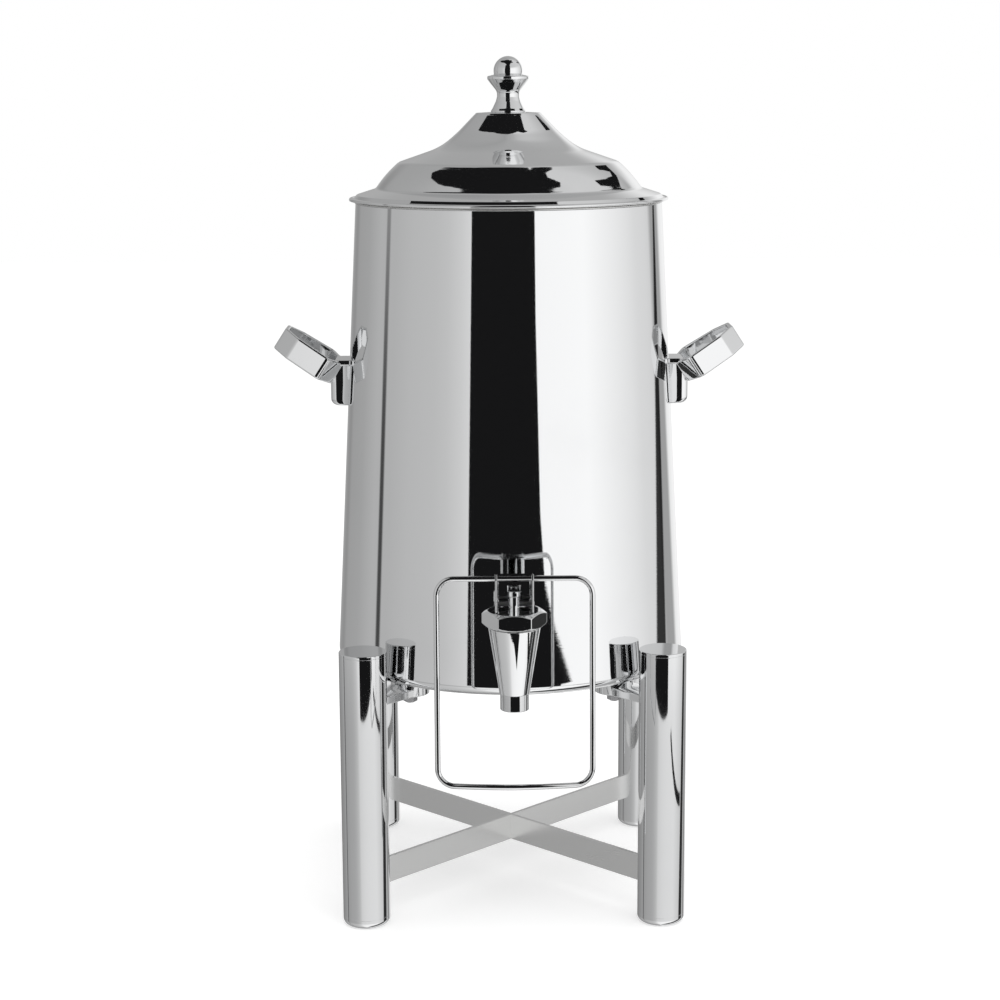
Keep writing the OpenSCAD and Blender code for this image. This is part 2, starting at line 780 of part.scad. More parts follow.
module faucet_body() {
    seat_y = -wall_r(inlet_z) - seal_t;
    placed() color("gainsboro") difference() {
        union() {
            at_valve() rotate_extrude() polygon([
                [0, tip_z], [tip_d / 2, tip_z], [tip_d / 2, cone_foot_z],
                [cone_foot_d / 2, cone_foot_z], [cone_top_d / 2, cone_top_z],
                [neck_d / 2, cone_top_z], [neck_d / 2, body_top_z], [0, body_top_z]]);
            translate([0, 0, inlet_z]) {
                along_y(valve_y + cavity_r + overlap, seat_y - overlap, inlet_r);
                along_y(seat_y - shank_collar_t, seat_y, shank_collar_d / 2);
                along_y(seat_y - overlap, shank_nut_h + shank_tail + seal_t - tank_r, shank_d / 2);
            }
        }
        at_valve() rotate_extrude() polygon([
            [0, tip_z - overlap], [spout_bore_d / 2, tip_z - overlap],
            [spout_bore_d / 2, seat_z - seat_t], [seat_hole_d / 2, seat_z - seat_t],
            [seat_hole_d / 2, seat_z], [cavity_r, seat_z],
            [cavity_r, body_top_z - bonnet_plug_h], [bonnet_plug_r, body_top_z - bonnet_plug_h],
            [bonnet_plug_r, body_top_z + overlap], [0, body_top_z + overlap]]);
        translate([0, 0, inlet_z]) along_y(valve_y + cavity_r / 2, 0, shank_bore_d / 2);
    }
}

// A hexagonal cap nut, its corners bevelled above and below.
module faucet_bonnet() {
    low_z = bonnet_z - bonnet_h;
    flat_r = bonnet_flat_d / 2;
    wide_r = bonnet_d / 2 + overlap;
    bevel_h = (wide_r - flat_r) * tan(bonnet_slope);
    bore_r = neck_d / 2 + fit_gap;
    plug_r = bonnet_plug_r - fit_gap;
    placed() color("gainsboro") at_valve() difference() {
        intersection() {
            translate([0, 0, low_z - overlap])
                cylinder(h = bonnet_h + 2 * overlap, d = bonnet_d, $fn = 6);
            rotate_extrude() polygon([
                [0, low_z], [flat_r, low_z], [wide_r, low_z + bevel_h],
                [wide_r, bonnet_z - bevel_h], [flat_r, bonnet_z], [0, bonnet_z]]);
        }
        rotate_extrude() polygon([
            [0, low_z - overlap], [bore_r, low_z - overlap], [bore_r, body_top_z],
            [plug_r, body_top_z], [plug_r, body_top_z - bonnet_plug_h],
            [0, body_top_z - bonnet_plug_h]]);
        translate([0, 0, body_top_z - bonnet_plug_h - overlap])
            cylinder(h = bonnet_t + bonnet_plug_h + 2 * overlap, d = stem_d + 2 * running_clearance);
    }
}

// A soft ring round the shank, shaped to the wall it seals.
module shell_seal() {
    placed() color("whitesmoke") difference() {
        translate([0, 0, inlet_z])
            along_y(-wall_r(inlet_z) - seal_t, -wall_r(inlet_z) + seal_seat_depth, seal_seat_r);
        translate([0, 0, inlet_z])
            along_y(-2 * shell_bottom_r, 0, shank_d / 2 + shank_hole_gap);
        shell_form();
    }
}

module tank_seal() {
    placed() color("whitesmoke") difference() {
        translate([0, 0, inlet_z])
            along_y(-tank_r, -tank_r + tank_wall + seal_t, tank_seal_r);
        translate([0, 0, inlet_z]) along_y(-2 * tank_r, 0, shank_d / 2 + shank_hole_gap);
        translate([0, 0, tank_floor_z]) difference() {
            cylinder(h = shell_h, r = 2 * tank_r);
            translate([0, 0, -overlap])
                cylinder(h = shell_h + 2 * overlap, r = tank_r - tank_wall - seat_gap, $fn = 720);
        }
    }
}

module shank_nut() {
    near = -tank_r + tank_wall + seal_t;
    placed() color("silver") translate([0, near + shank_nut_h, inlet_z]) rotate([90, 0, 0])
        difference() {
            cylinder(h = shank_nut_h, d = nut_af, $fn = 6);
            translate([0, 0, -overlap])
                cylinder(h = shank_nut_h + 2 * overlap, d = shank_d + fit_gap);
        }
}

module valve_stem() {
    top_z = bonnet_z + stem_top_h;
    placed() color("gainsboro") at_valve() difference() {
        union() {
            translate([0, 0, cup_top_z - cup_h + spigot_floor]) cylinder(h = cup_h, d = spigot_d);
            translate([0, 0, cup_top_z]) cylinder(h = top_z - cup_top_z, d = stem_d);
            translate([0, 0, top_z - stem_head_h]) cylinder(h = stem_head_h, d = stem_head_d);
        }
        translate([0, 0, pin_z]) along_x(-stem_d, stem_d, pin_d / 2 + running_clearance);
    }
}

module seat_cup() {
    placed() color("whitesmoke") at_valve() translate([0, 0, cup_top_z - cup_h]) difference() {
        rotate_extrude() polygon([
            [0, cup_dish], [cup_r - cup_lip, cup_dish], [cup_r - cup_lip, 0], [cup_r, 0],
            [cup_r - cup_side_in, cup_h - cup_top_edge], [cup_r - cup_lip, cup_h], [0, cup_h]]);
        translate([0, 0, spigot_floor]) cylinder(h = cup_h, d = spigot_d);
    }
}

module valve_spring() {
    low = cup_top_z + spring_wire_d / 2;
    high = body_top_z - bonnet_plug_h - spring_wire_d / 2 - spring_end_gap;
    rings = spring_turns * spring_rings_per_turn;
    points = [for (i = [0:rings], k = [0:spring_sides - 1])
        let (t = i / rings, a = 360 * spring_turns * t, b = 360 * k / spring_sides,
             r = spring_r + spring_wire_d / 2 * cos(b))
        [r * cos(a), r * sin(a), low + (high - low) * t + spring_wire_d / 2 * sin(b)]];
    sides = [for (i = [0:rings - 1], k = [0:spring_sides - 1])
        let (m = (k + 1) % spring_sides, p = i * spring_sides, q = p + spring_sides)
        [p + k, q + k, q + m, p + m]];
    caps = [[for (k = [0:spring_sides - 1]) k],
        [for (k = [0:spring_sides - 1]) rings * spring_sides + spring_sides - 1 - k]];
    placed() color("dimgray") at_valve() polyhedron(points, concat(sides, caps), 10);
}

// ---- Lever ----

// Two cheeks with ears round the wire, a back plate and a roof behind the wire.
module lever_yoke() {
    ear_r = wire_d / 2 + ear_t;
    roof_y = wire_y + ear_r;
    back_y = yoke_front_y + yoke_depth;
    top_z = yoke_z + yoke_h;
    placed() color("gainsboro") difference() {
        union() {
            translate([-yoke_w / 2, yoke_front_y, yoke_z])
                cube([yoke_w, yoke_depth, wire_z - yoke_z]);
            translate([-yoke_w / 2, roof_y, yoke_z]) cube([yoke_w, back_y - roof_y, yoke_h]);
            translate([0, wire_y, wire_z]) along_x(-yoke_w / 2, yoke_w / 2, ear_r);
        }
        translate([-yoke_in_w / 2, yoke_front_y - overlap, yoke_z - overlap])
            cube([yoke_in_w, yoke_depth - yoke_wall + overlap, yoke_h - yoke_wall + overlap]);
        translate([-yoke_in_w / 2, yoke_front_y - overlap, yoke_z])
            cube([yoke_in_w, roof_y - yoke_front_y + overlap, top_z - yoke_z + ear_r]);
        translate([0, valve_y, pin_z]) along_x(-yoke_w, yoke_w, pin_d / 2);
        translate([0, wire_y, wire_z]) along_x(-yoke_w, yoke_w, wire_d / 2);
    }
}

module pivot_pin() {
    reach = yoke_w / 2 + pin_overhang;
    placed() color("silver") translate([0, valve_y, pin_z]) along_x(-reach, reach, pin_d / 2);
}

// Quarter bend of the wire in the X-Z plane, about the origin, from +X to +Z.
module wire_bend() {
    rotate([90, 0, 0]) rotate_extrude(angle = 90) translate([wire_corner_r, 0]) circle(d = wire_d, $fn = 32);
}

module lever_wire() {
    half_w = wire_loop_w / 2;
    straight_h = wire_loop_h - 2 * wire_corner_r;
    placed() color("gainsboro") translate([0, wire_y, wire_z]) rotate([-wire_lean, 0, 0]) {
        along_x(-half_w + wire_corner_r, half_w - wire_corner_r, wire_d / 2);
        for (s = [0, 1]) mirror([s, 0, 0]) {
            translate([half_w - wire_corner_r, 0, -wire_corner_r]) wire_bend();
            translate([half_w, 0, -wire_corner_r - straight_h])
                cylinder(h = straight_h, d = wire_d, $fn = 32);
            difference() {
                translate([half_w, 0, -wire_corner_r - straight_h]) rotate([0, 0, wire_bow_a]) {
                    translate([-wire_corner_r, 0, 0]) mirror([0, 0, 1]) wire_bend();
                    translate([0, 0, -wire_corner_r])
                        along_x(-wire_loop_w, -wire_corner_r, wire_d / 2);
                }
                translate([-wire_loop_w, -half_w, -wire_loop_h - wire_d])
                    cube([wire_loop_w, wire_loop_w, 2 * wire_d]);
            }
        }
    }
}

outer_shell();
base_plate();
inner_tank();
insulation_sleeve();
insulation_disc();
lid_cover();
lid_liner();
lid_gasket();
lid_knob();
knob_screw();
knob_washer();
handle_post_left();
handle_post_right();
handle_loop_left();
handle_loop_right();
handle_screws();
leg_tube_front_left();
leg_tube_front_right();
leg_tube_rear_left();
leg_tube_rear_right();
leg_top_caps();
leg_foot_caps();
bracket_front_left();
bracket_front_right();
bracket_rear_left();
bracket_rear_right();
brace_bar_lower();
brace_bar_upper();
stand_bolts();
stand_washers();
stand_nuts();
faucet_body();
faucet_bonnet();
shell_seal();
tank_seal();
shank_nut();
valve_stem();
seat_cup();
valve_spring();
lever_yoke();
lever_wire();
pivot_pin();
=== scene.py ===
"""Coffee urn: smooth turned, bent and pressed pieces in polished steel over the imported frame."""

import json
import math

import bmesh
import bpy
import numpy as np
from mathutils import Matrix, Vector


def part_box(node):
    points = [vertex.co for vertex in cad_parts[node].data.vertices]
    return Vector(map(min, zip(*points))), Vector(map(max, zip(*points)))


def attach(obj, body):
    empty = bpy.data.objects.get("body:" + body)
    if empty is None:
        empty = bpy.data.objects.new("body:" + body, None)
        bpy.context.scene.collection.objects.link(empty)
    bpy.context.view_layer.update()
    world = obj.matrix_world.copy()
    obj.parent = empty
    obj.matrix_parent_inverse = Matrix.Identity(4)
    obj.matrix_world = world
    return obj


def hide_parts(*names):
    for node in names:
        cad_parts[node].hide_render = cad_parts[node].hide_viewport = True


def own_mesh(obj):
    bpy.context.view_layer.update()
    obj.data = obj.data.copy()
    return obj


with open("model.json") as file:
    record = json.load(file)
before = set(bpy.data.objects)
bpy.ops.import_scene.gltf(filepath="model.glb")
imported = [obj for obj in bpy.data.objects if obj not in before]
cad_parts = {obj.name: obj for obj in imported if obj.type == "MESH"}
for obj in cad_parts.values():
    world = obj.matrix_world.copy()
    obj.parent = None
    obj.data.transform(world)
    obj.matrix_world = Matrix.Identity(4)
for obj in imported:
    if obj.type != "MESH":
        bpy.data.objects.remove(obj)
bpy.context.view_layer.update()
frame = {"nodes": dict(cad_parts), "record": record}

MM = 0.001
shell_low, shell_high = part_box("outer_shell")
AXIS_Y = (shell_low[1] + shell_high[1]) / 2 / MM

# ---------------------------------------------------------------- sizes, in mm about the urn's axis

BASE_Z = 180.0
SHELL_TOP_R, SHELL_BOTTOM_R, SHELL_H = 115.2, 133.4, 348.5
SHELL_WALL, ROLL_R, FLANGE_W = 1.2, 7.0, 36.0
ROLL_Z = BASE_Z + ROLL_R
ROLL_X = SHELL_BOTTOM_R - ROLL_R
SHELL_TOP_Z = BASE_Z + SHELL_H
TAPER = (SHELL_BOTTOM_R - SHELL_TOP_R) / (SHELL_TOP_Z - ROLL_Z)
TANK_R, TANK_WALL, TANK_FLOOR_Z, TANK_CORNER_R = 108.0, 1.0, 209.5, 12.0
MOUTH_Z, MOUTH_FLANGE_R = 529.5, 115.8
RIM_R, RIM_Z, HEM_R, LID_WALL = 120.0, 530.2, 1.1, 1.0
LINER_Z, LINER_T, PLUG_R, PLUG_LOW_Z = 530.4, 0.8, 106.0, 516.5
KNOB_Z = 595.3
HANDLE_Z, HANDLE_X, LOOP_SLOPE, LOOP_DROP = 407.0, 121.68, math.radians(33), 12.7
POST_W, POST_REACH, POST_H, POST_CORNER_R = 22.0, 14.4, 31.0, 5.0
TAB_W, TAB_T, TAB_REACH, TAB_CORNER_R = 30.0, 4.0, 11.0, 4.0
BAND_W, BAND_T, BAND_EDGE_R, LOOP_BEND_R = 18.0, 3.2, 1.2, 4.5
LOOP_SIDE = np.array([(11.0, 12.0), (21.5, 30.6), (50.0, 24.4), (62.0, 12.0)])
LEG_R, LEG_WALL, LEG_H, FOOT_H, CAP_T, CAP_PLUG = 17.5, 1.5, 209.0, 7.0, 2.5, 8.0
LEG_RADIAL = SHELL_BOTTOM_R + 4.7 + LEG_R
LEG_XY = LEG_RADIAL / math.sqrt(2)
PAD_D, PAD_H, ARM_T, ARM_W = 29.0, 6.0, 6.0, 24.0
PAD_RADIAL = ROLL_X - 3.7 - PAD_D / 2
ARM_Z = BASE_Z - PAD_H - ARM_T
VALVE_Y, BONNET_Z, CONE_TOP_Z, CONE_FOOT_Z, TIP_Z = -171.97, 254.5, 242.5, 194.5, 182.5
BONNET_R, BONNET_H, BONNET_T, BONNET_FLAT_R, NECK_R = 23.0, 11.5, 5.0, 19.0, 18.0
INLET_Z, INLET_R, SEAT_Z, SEAT_R, SEAT_T = 234.5, 7.5, 229.0, 5.5, 3.0
CHAMBER_R, NECK_BORE_R, BONNET_PLUG_H, BORE_R, TIP_R = 12.5, 15.0, 3.0, 7.5, 10.25
SEAL_R, SEAL_T, THREAD_R, SHANK_END_Y = 12.0, 3.0, 8.0, -97.0
YOKE_W, YOKE_DEPTH, YOKE_H, YOKE_WALL, YOKE_Z = 27.0, 20.0, 23.5, 1.5, 254.9
PIN_Z, PIN_R, STEM_R = 258.9, 1.5, 4.0
WIRE_Y, WIRE_Z, WIRE_R, WIRE_LEAN = VALVE_Y - 4, 277.9, 2.0, math.radians(4)
WIRE_HALF_W, WIRE_LOOP_H, WIRE_CORNER_R, WIRE_BOW = 54.5, 147.0, 12.0, 7.3

HOLD = 0.15
CORNERS = [(-1, -1, "front_left"), (1, -1, "front_right"), (-1, 1, "rear_left"), (1, 1, "rear_right")]


def wall_r(z):
    """Radius of the tapered shell at height z: a straight line from the roll to the top."""
    return SHELL_BOTTOM_R - TAPER * (z - ROLL_Z)


# ---------------------------------------------------------------- outlines


def arc(centre, radius, start, end, steps=12):
    """Centre plus radius times (cos, sin), from one angle to the other, in degrees."""
    t = np.radians(np.linspace(start, end, steps + 1))
    return np.array(centre) + radius * np.stack([np.cos(t), np.sin(t)], -1)


def eased(corners, closed=False, steps=5):
    """A path through corners (x, y, radius). A corner with a radius becomes an arc that is tangent
    to both its sides, with a point held just off each end so that the flats stay flat."""
    points = np.array([c[:2] for c in corners], float)
    radii = [c[2] if len(c) > 2 else 0 for c in corners]
    count = len(points)
    out = []
    for k, radius in enumerate(radii):
        here = points[k]
        if radius <= 0 or (not closed and k in (0, count - 1)):
            out.append(here[None])
            continue
        back, ahead = points[k - 1] - here, points[(k + 1) % count] - here
        back_len, ahead_len = np.linalg.norm(back), np.linalg.norm(ahead)
        back, ahead = back / back_len, ahead / ahead_len
        half = math.acos(np.clip(back @ ahead, -1, 1)) / 2
        run = radius / math.tan(half)
        middle = (back + ahead) / np.linalg.norm(back + ahead)
        centre = here + middle * radius / math.sin(half)
        a, b = here + back * run - centre, here + ahead * run - centre
        turn = math.pi - 2 * half
        t = np.linspace(0, 1, steps + 1)[:, None]
        bend = centre + (a * np.sin((1 - t) * turn) + b * np.sin(t * turn)) / math.sin(turn)
        before = here + back * min(run + HOLD, (run + back_len) / 2)
        after = here + ahead * min(run + HOLD, (run + ahead_len) / 2)
        out += [before[None], bend, after[None]]
    return np.concatenate(out)


def convex_outline(corners, radius, steps=240):
    """A closed outline: for each direction, the corner that lies farthest that way plus radius."""
    t = np.linspace(0, 2 * math.pi, steps, endpoint=False)
    way = np.stack([np.cos(t), np.sin(t)], -1)
    corners = np.array(corners, float)
    return corners[np.argmax(way @ corners.T + 1e-9, axis=1)] + radius * way


# ---------------------------------------------------------------- surfaces


def skin(points):
    """Quads over a grid of points [row, column, xyz] that closes on itself round its columns."""
    rows, cols = points.shape[:2]
    i, j = np.arange(rows - 1)[:, None], np.arange(cols)[None, :]
    quads = np.stack(np.broadcast_arrays(
        i * cols + j, i * cols + (j + 1) % cols, (i + 1) * cols + (j + 1) % cols, (i + 1) * cols + j), -1)
    return points.reshape(-1, 3), quads.reshape(-1, 4)


def turned(profile, sides=160, centre=(0, 0, 0), axis="z"):
    """A profile of (radius, height) turned about an axis: across by radius times (cos, sin) of the
    turn, along by height. The first and last points lie on the axis, or meet."""
    t = np.linspace(0, 2 * math.pi, sides, endpoint=False)
    r, h = profile[:, :1], profile[:, 1:2]
    a, b, c = r * np.cos(t), r * np.sin(t), h + 0 * t
    order = {"z": (a, b, c), "x": (c, a, b), "y": (b, c, a)}[axis]
    return skin(np.stack(order, -1) + np.array(centre, float))


def ring(profile, sides=160, centre=(0, 0, 0), axis="z"):
    """A closed profile turned about an axis: the last point joins the first."""
    return turned(np.concatenate([profile, profile[:1]]), sides, centre, axis)


def plate(outline, low, high, edge, steps=4):
    """An outline raised from low to high, with both rims rounded: each row moves the outline in by
    edge * (1 - sin a) while its height leaves the face by edge * (1 - cos a)."""
    ahead = np.roll(outline, -1, 0) - np.roll(outline, 1, 0)
    outward = np.stack([ahead[:, 1], -ahead[:, 0]], -1)
    outward /= np.linalg.norm(outward, axis=1)[:, None]
    a = np.linspace(0, math.pi / 2, steps + 1)
    inset = np.concatenate([[edge + HOLD], edge * (1 - np.sin(a)), [0]])
    rise = np.concatenate([[0], edge * (1 - np.cos(a)), [edge + HOLD]])
    middle = outline.mean(0)
    rows = []
    for flip, base, sign in ((1, low, 1), (-1, high, -1)):
        part = [np.column_stack([outline - outward * d, np.full(len(outline), base + sign * h)])
                for d, h in zip(inset, rise)]
        cap = np.column_stack([np.repeat(middle[None], len(outline), 0), np.full(len(outline), base)])
        rows += ([cap] + part)[::flip]
    return skin(np.stack(rows))


def carried(path, across, side, section):
    """A closed section (a, b) carried round a closed path: path + a * across + b * side."""
    a, b = section[:, 0], section[:, 1]
    rows = (path[:, None] + a[None, :, None] * across[:, None] + b[None, :, None] * side[:, None])
    return skin(np.concatenate([rows, rows[:1]]))


def moved(surface, origin, x_way, y_way, z_way):
    """The surface's x, y and z laid along three given ways from an origin."""
    points, quads = surface
    return np.array(origin, float) + points @ np.array([x_way, y_way, z_way], float), quads


def mirrored(surface):
    """The surface on the other side of the urn's middle plane."""
    points, quads = surface
    return points * (-1, 1, 1), quads


def outside_out(surface):
    """The same surface with its quads wound so that the volume they close is positive."""
    points, quads = surface
    a, b, c, d = (points[quads[:, k]] for k in range(4))
    volume = np.einsum("ij,ij->i", a, np.cross(b, c) + np.cross(c, d)).sum()
    return (points, quads) if volume > 0 else (points, quads[:, ::-1])


def make_piece(name, surfaces, body, finish, nodes):
    """One smooth mesh of closed surfaces, in metres in the shared frame, riding on its body."""
    starts = np.cumsum([0] + [len(p) for p, _ in surfaces])
    shells = [outside_out(s) for s in surfaces]
    points = (np.concatenate([p for p, _ in shells]) + (0, AXIS_Y, 0)) * MM
    quads = np.concatenate([q + s for (_, q), s in zip(shells, starts)])
    mesh = bpy.data.meshes.new(name)
    mesh.from_pydata(points.tolist(), [], quads.tolist())
    mesh.materials.append(finish)
    work = bmesh.new()
    work.from_mesh(mesh)
    bmesh.ops.remove_doubles(work, verts=work.verts, dist=1e-7)
    bmesh.ops.dissolve_degenerate(work, edges=work.edges, dist=1e-8)
    work.to_mesh(mesh)
    work.free()
    mesh.polygons.foreach_set("use_smooth", np.ones(len(mesh.polygons), bool))
    mesh.update()
    piece = bpy.data.objects.new(name, mesh)
    bpy.context.scene.collection.objects.link(piece)
    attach(piece, body)
    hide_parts(*nodes)
    return piece


# ---------------------------------------------------------------- finishes


class Value:
    """A number socket of a node tree. Arithmetic on it adds Math nodes."""

    def __init__(self, finish, socket):
        self.finish, self.socket = finish, socket

    def _math(self, operation, first, second=None):
        values = {0: first} if second is None else {0: first, 1: second}
        return self.finish.add("ShaderNodeMath", {"operation": operation}, values).out(0)

    def __add__(self, other):
        return self._math("ADD", self, other)

    def __sub__(self, other):
        return self._math("SUBTRACT", self, other)

    def __rsub__(self, other):
        return self._math("SUBTRACT", other, self)

    def __mul__(self, other):
        return self._math("MULTIPLY", self, other)

    def __abs__(self):
        return self._math("ABSOLUTE", self)

    def angle_from(self, other):
        """The angle of the vector (other, self), in radians."""
        return self._math("ARCTAN2", self, other)

    __radd__ = __add__
    __rmul__ = __mul__

    def between(self, low, high):
        """0 below low, 1 above high, and a smooth step between."""
        step = self.finish.add("ShaderNodeMapRange", {"interpolation_type": "SMOOTHSTEP"},
                               {"Value": self, "From Min": low, "From Max": high})
        return step.out("Result")


class Node:
    """A node with its outputs by name or number."""

    def __init__(self, finish, node):
        self.finish, self.node = finish, node

    def out(self, key):
        return Value(self.finish, self.node.outputs[key])


class Finish:
    """A node tree that is built from expressions."""

    def __init__(self, tree):
        self.tree = tree

    def add(self, kind, settings=None, values=None):
        """A node of that type: its settings first, then a value or a link for each input named."""
        node = self.tree.nodes.new(kind)
        for key, setting in (settings or {}).items():
            if key == "stops":
                stops = node.color_ramp.elements
                while len(stops) < len(setting):
                    stops.new(1.0)
                for stop, (place, colour) in zip(stops, setting):
                    stop.position = place
                    stop.color = (*colour, 1) if np.ndim(colour) else (colour, colour, colour, 1)
            else:
                setattr(node, key, setting)
        for key, value in (values or {}).items():
            if isinstance(value, Value):
                self.tree.links.new(value.socket, node.inputs[key])
            else:
                node.inputs[key].default_value = value
        return Node(self, node)

    def place(self, scale=(1, 1, 1), turn=(0, 0, 0)):
        """Object coordinates, centred on the urn's axis, then turned and scaled."""
        spot = self.add("ShaderNodeTexCoord").out("Object")
        centred = self.add("ShaderNodeVectorMath", {"operation": "SUBTRACT"},
                           {0: spot, 1: (0, AXIS_Y * MM, 0)}).out(0)
        turned_spot = self.add("ShaderNodeVectorRotate", {"rotation_type": "EULER_XYZ"},
                               {"Vector": centred, "Rotation": turn}).out(0)
        return self.add("ShaderNodeVectorMath", {"operation": "MULTIPLY"}, {0: turned_spot, 1: scale}).out(0)

    def noise(self, spot, scale, detail=2.0):
        """Cloudy noise from 0 to 1 about the place."""
        return self.add("ShaderNodeTexNoise", None,
                        {"Vector": spot, "Scale": scale, "Detail": detail, "Roughness": 0.55}).out(0)

    def mix_colour(self, factor, first, second):
        """first where the factor is 0, second where it is 1."""
        node = self.tree.nodes.new("ShaderNodeMix")
        node.data_type = "RGBA"
        for key, value in ((0, factor), (6, first), (7, second)):
            if isinstance(value, Value):
                self.tree.links.new(value.socket, node.inputs[key])
            else:
                node.inputs[key].default_value = (*value, 1) if np.ndim(value) else value
        return Value(self, node.outputs[2])

    def bump(self, height, strength, distance):
        """A normal that follows a height."""
        return self.add("ShaderNodeBump", None,
                        {"Height": height, "Strength": strength, "Distance": distance}).out(0)


def new_material(name):
    """A material with an empty tree, its Principled shader and its output."""
    material = bpy.data.materials.new(name)
    material.use_nodes = True
    finish = Finish(material.node_tree)
    material.node_tree.nodes.clear()
    shader = finish.add("ShaderNodeBsdfPrincipled")
    finish.add("ShaderNodeOutputMaterial", None, {"Surface": shader.out("BSDF")})
    return material, finish, shader


def set_shader(finish, shader, **values):
    """Values and links for the shader's sockets; an underscore in a name stands for a space."""
    for key, value in values.items():
        socket = shader.node.inputs[key.replace("_", " ")]
        if isinstance(value, Value):
            finish.tree.links.new(value.socket, socket)
        else:
            socket.default_value = (*value, 1) if np.ndim(value) else value


def metal(name, colour, rough, grain_scale, turn=(0, 0, 0), grain_rough=0.01, grain_bump=0.02,
          wave_bump=0.0, stain=0.03):
    """Metal with a fine grain drawn out by the scale's short way, faint cloudy handling marks and,
    where wave_bump is set, the slow ripple that rolled sheet has."""
    material, finish, shader = new_material(name)
    grain = finish.noise(finish.place(grain_scale, turn), 1.0, 3.0)
    cloud = finish.noise(finish.place((9, 9, 9)), 1.0, 4.0)
    marks = cloud.between(0.52, 0.78)
    dull = tuple(c * (1 - stain) for c in colour)
    height = grain * grain_bump + finish.noise(finish.place((14, 14, 7)), 1.0, 1.0) * wave_bump
    set_shader(
        finish, shader, Metallic=1.0,
        Base_Color=finish.mix_colour(marks, colour, dull),
        Roughness=rough + marks * 0.02 + grain * grain_rough,
        Normal=finish.bump(height, 0.25, 0.001))
    return material


def soft_material(name, colour, rough, grain=900, depth=0.1):
    """A matte moulded material with a fine even grain and slight clouding."""
    material, finish, shader = new_material(name)
    cloud = finish.noise(finish.place((30, 30, 30)), 1.0, 3.0)
    grain_height = finish.noise(finish.place((grain, grain, grain)), 1.0, 2.0)
    set_shader(
        finish, shader,
        Base_Color=finish.mix_colour(cloud, colour, tuple(c * 0.9 for c in colour)),
        Roughness=rough + cloud * 0.08,
        Normal=finish.bump(grain_height, depth, 0.0003))
    return material


STEEL = (0.800, 0.805, 0.810)
polished = metal("polished_sheet", STEEL, 0.028, (20, 20, 1500), wave_bump=0.03)
lid_polish = metal("polished_spinning", STEEL, 0.030, (20, 20, 1500), wave_bump=0.02)
leg_polish = metal("polished_tube", (0.78, 0.785, 0.79), 0.045, (700, 700, 10), grain_bump=0.004,
                   wave_bump=0.02)
bright = metal("bright_fitting", (0.79, 0.795, 0.80), 0.030, (60, 60, 900))
satin = metal("satin_bar", (0.79, 0.79, 0.785), 0.20, (40, 1400, 1400), (0, 0, math.radians(-45)),
              grain_rough=0.10, grain_bump=0.04)
satin_cross = metal("satin_bar_cross", (0.79, 0.79, 0.785), 0.20, (40, 1400, 1400),
                    (0, 0, math.radians(45)), grain_rough=0.10, grain_bump=0.04)
spun_satin = metal("spun_satin", (0.64, 0.64, 0.635), 0.20, (60, 60, 1400), grain_rough=0.10,
                   grain_bump=0.06)
machined = metal("machined_steel", (0.50, 0.50, 0.51), 0.24, (500, 500, 500), grain_rough=0.10)
silicone = soft_material("silicone", (0.84, 0.83, 0.79), 0.55)
foam = soft_material("foam", (0.82, 0.76, 0.58), 0.85, 400, 0.5)

SLOT_FINISH = {
    "polished_steel": polished, "leg_steel": leg_polish, "satin_steel": spun_satin,
    "faucet_chrome": bright, "fastener_steel": machined, "silicone": silicone, "insulation": foam,
}
for entry in frame["record"]["subparts"]:
    for material_slot in frame["nodes"][entry["node"]].material_slots:
        material_slot.material = SLOT_FINISH[entry["material_slot"]]
for node, finish_of_bar in (("brace_bar_lower", satin), ("brace_bar_upper", satin_cross)):
    for material_slot in frame["nodes"][node].material_slots:
        material_slot.material = finish_of_bar

# ---------------------------------------------------------------- body and tank

lean = math.degrees(math.atan(TAPER))
roll_centre = (ROLL_X, ROLL_Z)
flange_in = ROLL_X - FLANGE_W
outer_roll = arc(roll_centre, ROLL_R, -90, lean, 20)
inner_roll = arc(roll_centre, ROLL_R - SHELL_WALL, lean, -90, 20)
above_roll = ROLL_Z + 3
shell_profile = np.concatenate([
    eased([(flange_in + 20, BASE_Z + SHELL_WALL), (flange_in, BASE_Z + SHELL_WALL, 0.5),
           (flange_in, BASE_Z, 0.5), (ROLL_X - 1, BASE_Z)]),
    outer_roll,
    eased([(wall_r(above_roll), above_roll), (SHELL_TOP_R, SHELL_TOP_Z, 0.4),
           (SHELL_TOP_R - SHELL_WALL, SHELL_TOP_Z, 0.4),
           (wall_r(above_roll) - SHELL_WALL, above_roll)]),
    inner_roll])
make_piece("body_shell", [ring(shell_profile, 256)], "urn", polished, ["outer_shell"])

tank_centre = (TANK_R - TANK_CORNER_R, TANK_FLOOR_Z + TANK_CORNER_R)
tank_profile = np.concatenate([
    [[0, TANK_FLOOR_Z], [TANK_R - TANK_CORNER_R - 1, TANK_FLOOR_Z]],
    arc(tank_centre, TANK_CORNER_R, -90, 0),
    eased([(TANK_R, TANK_FLOOR_Z + TANK_CORNER_R + 1), (TANK_R, SHELL_TOP_Z, 0.8),
           (MOUTH_FLANGE_R, SHELL_TOP_Z, 0.3), (MOUTH_FLANGE_R, MOUTH_Z, 0.3),
           (TANK_R - TANK_WALL, MOUTH_Z, 1.5), (TANK_R - TANK_WALL, TANK_FLOOR_Z + TANK_CORNER_R + 1)]),
    arc(tank_centre, TANK_CORNER_R - TANK_WALL, 0, -90),
    [[TANK_R - TANK_CORNER_R - 1, TANK_FLOOR_Z + TANK_WALL], [0, TANK_FLOOR_Z + TANK_WALL]]])
make_piece("tank_shell", [turned(tank_profile, 192)], "urn", spun_satin, ["inner_tank"])

# ---------------------------------------------------------------- lid

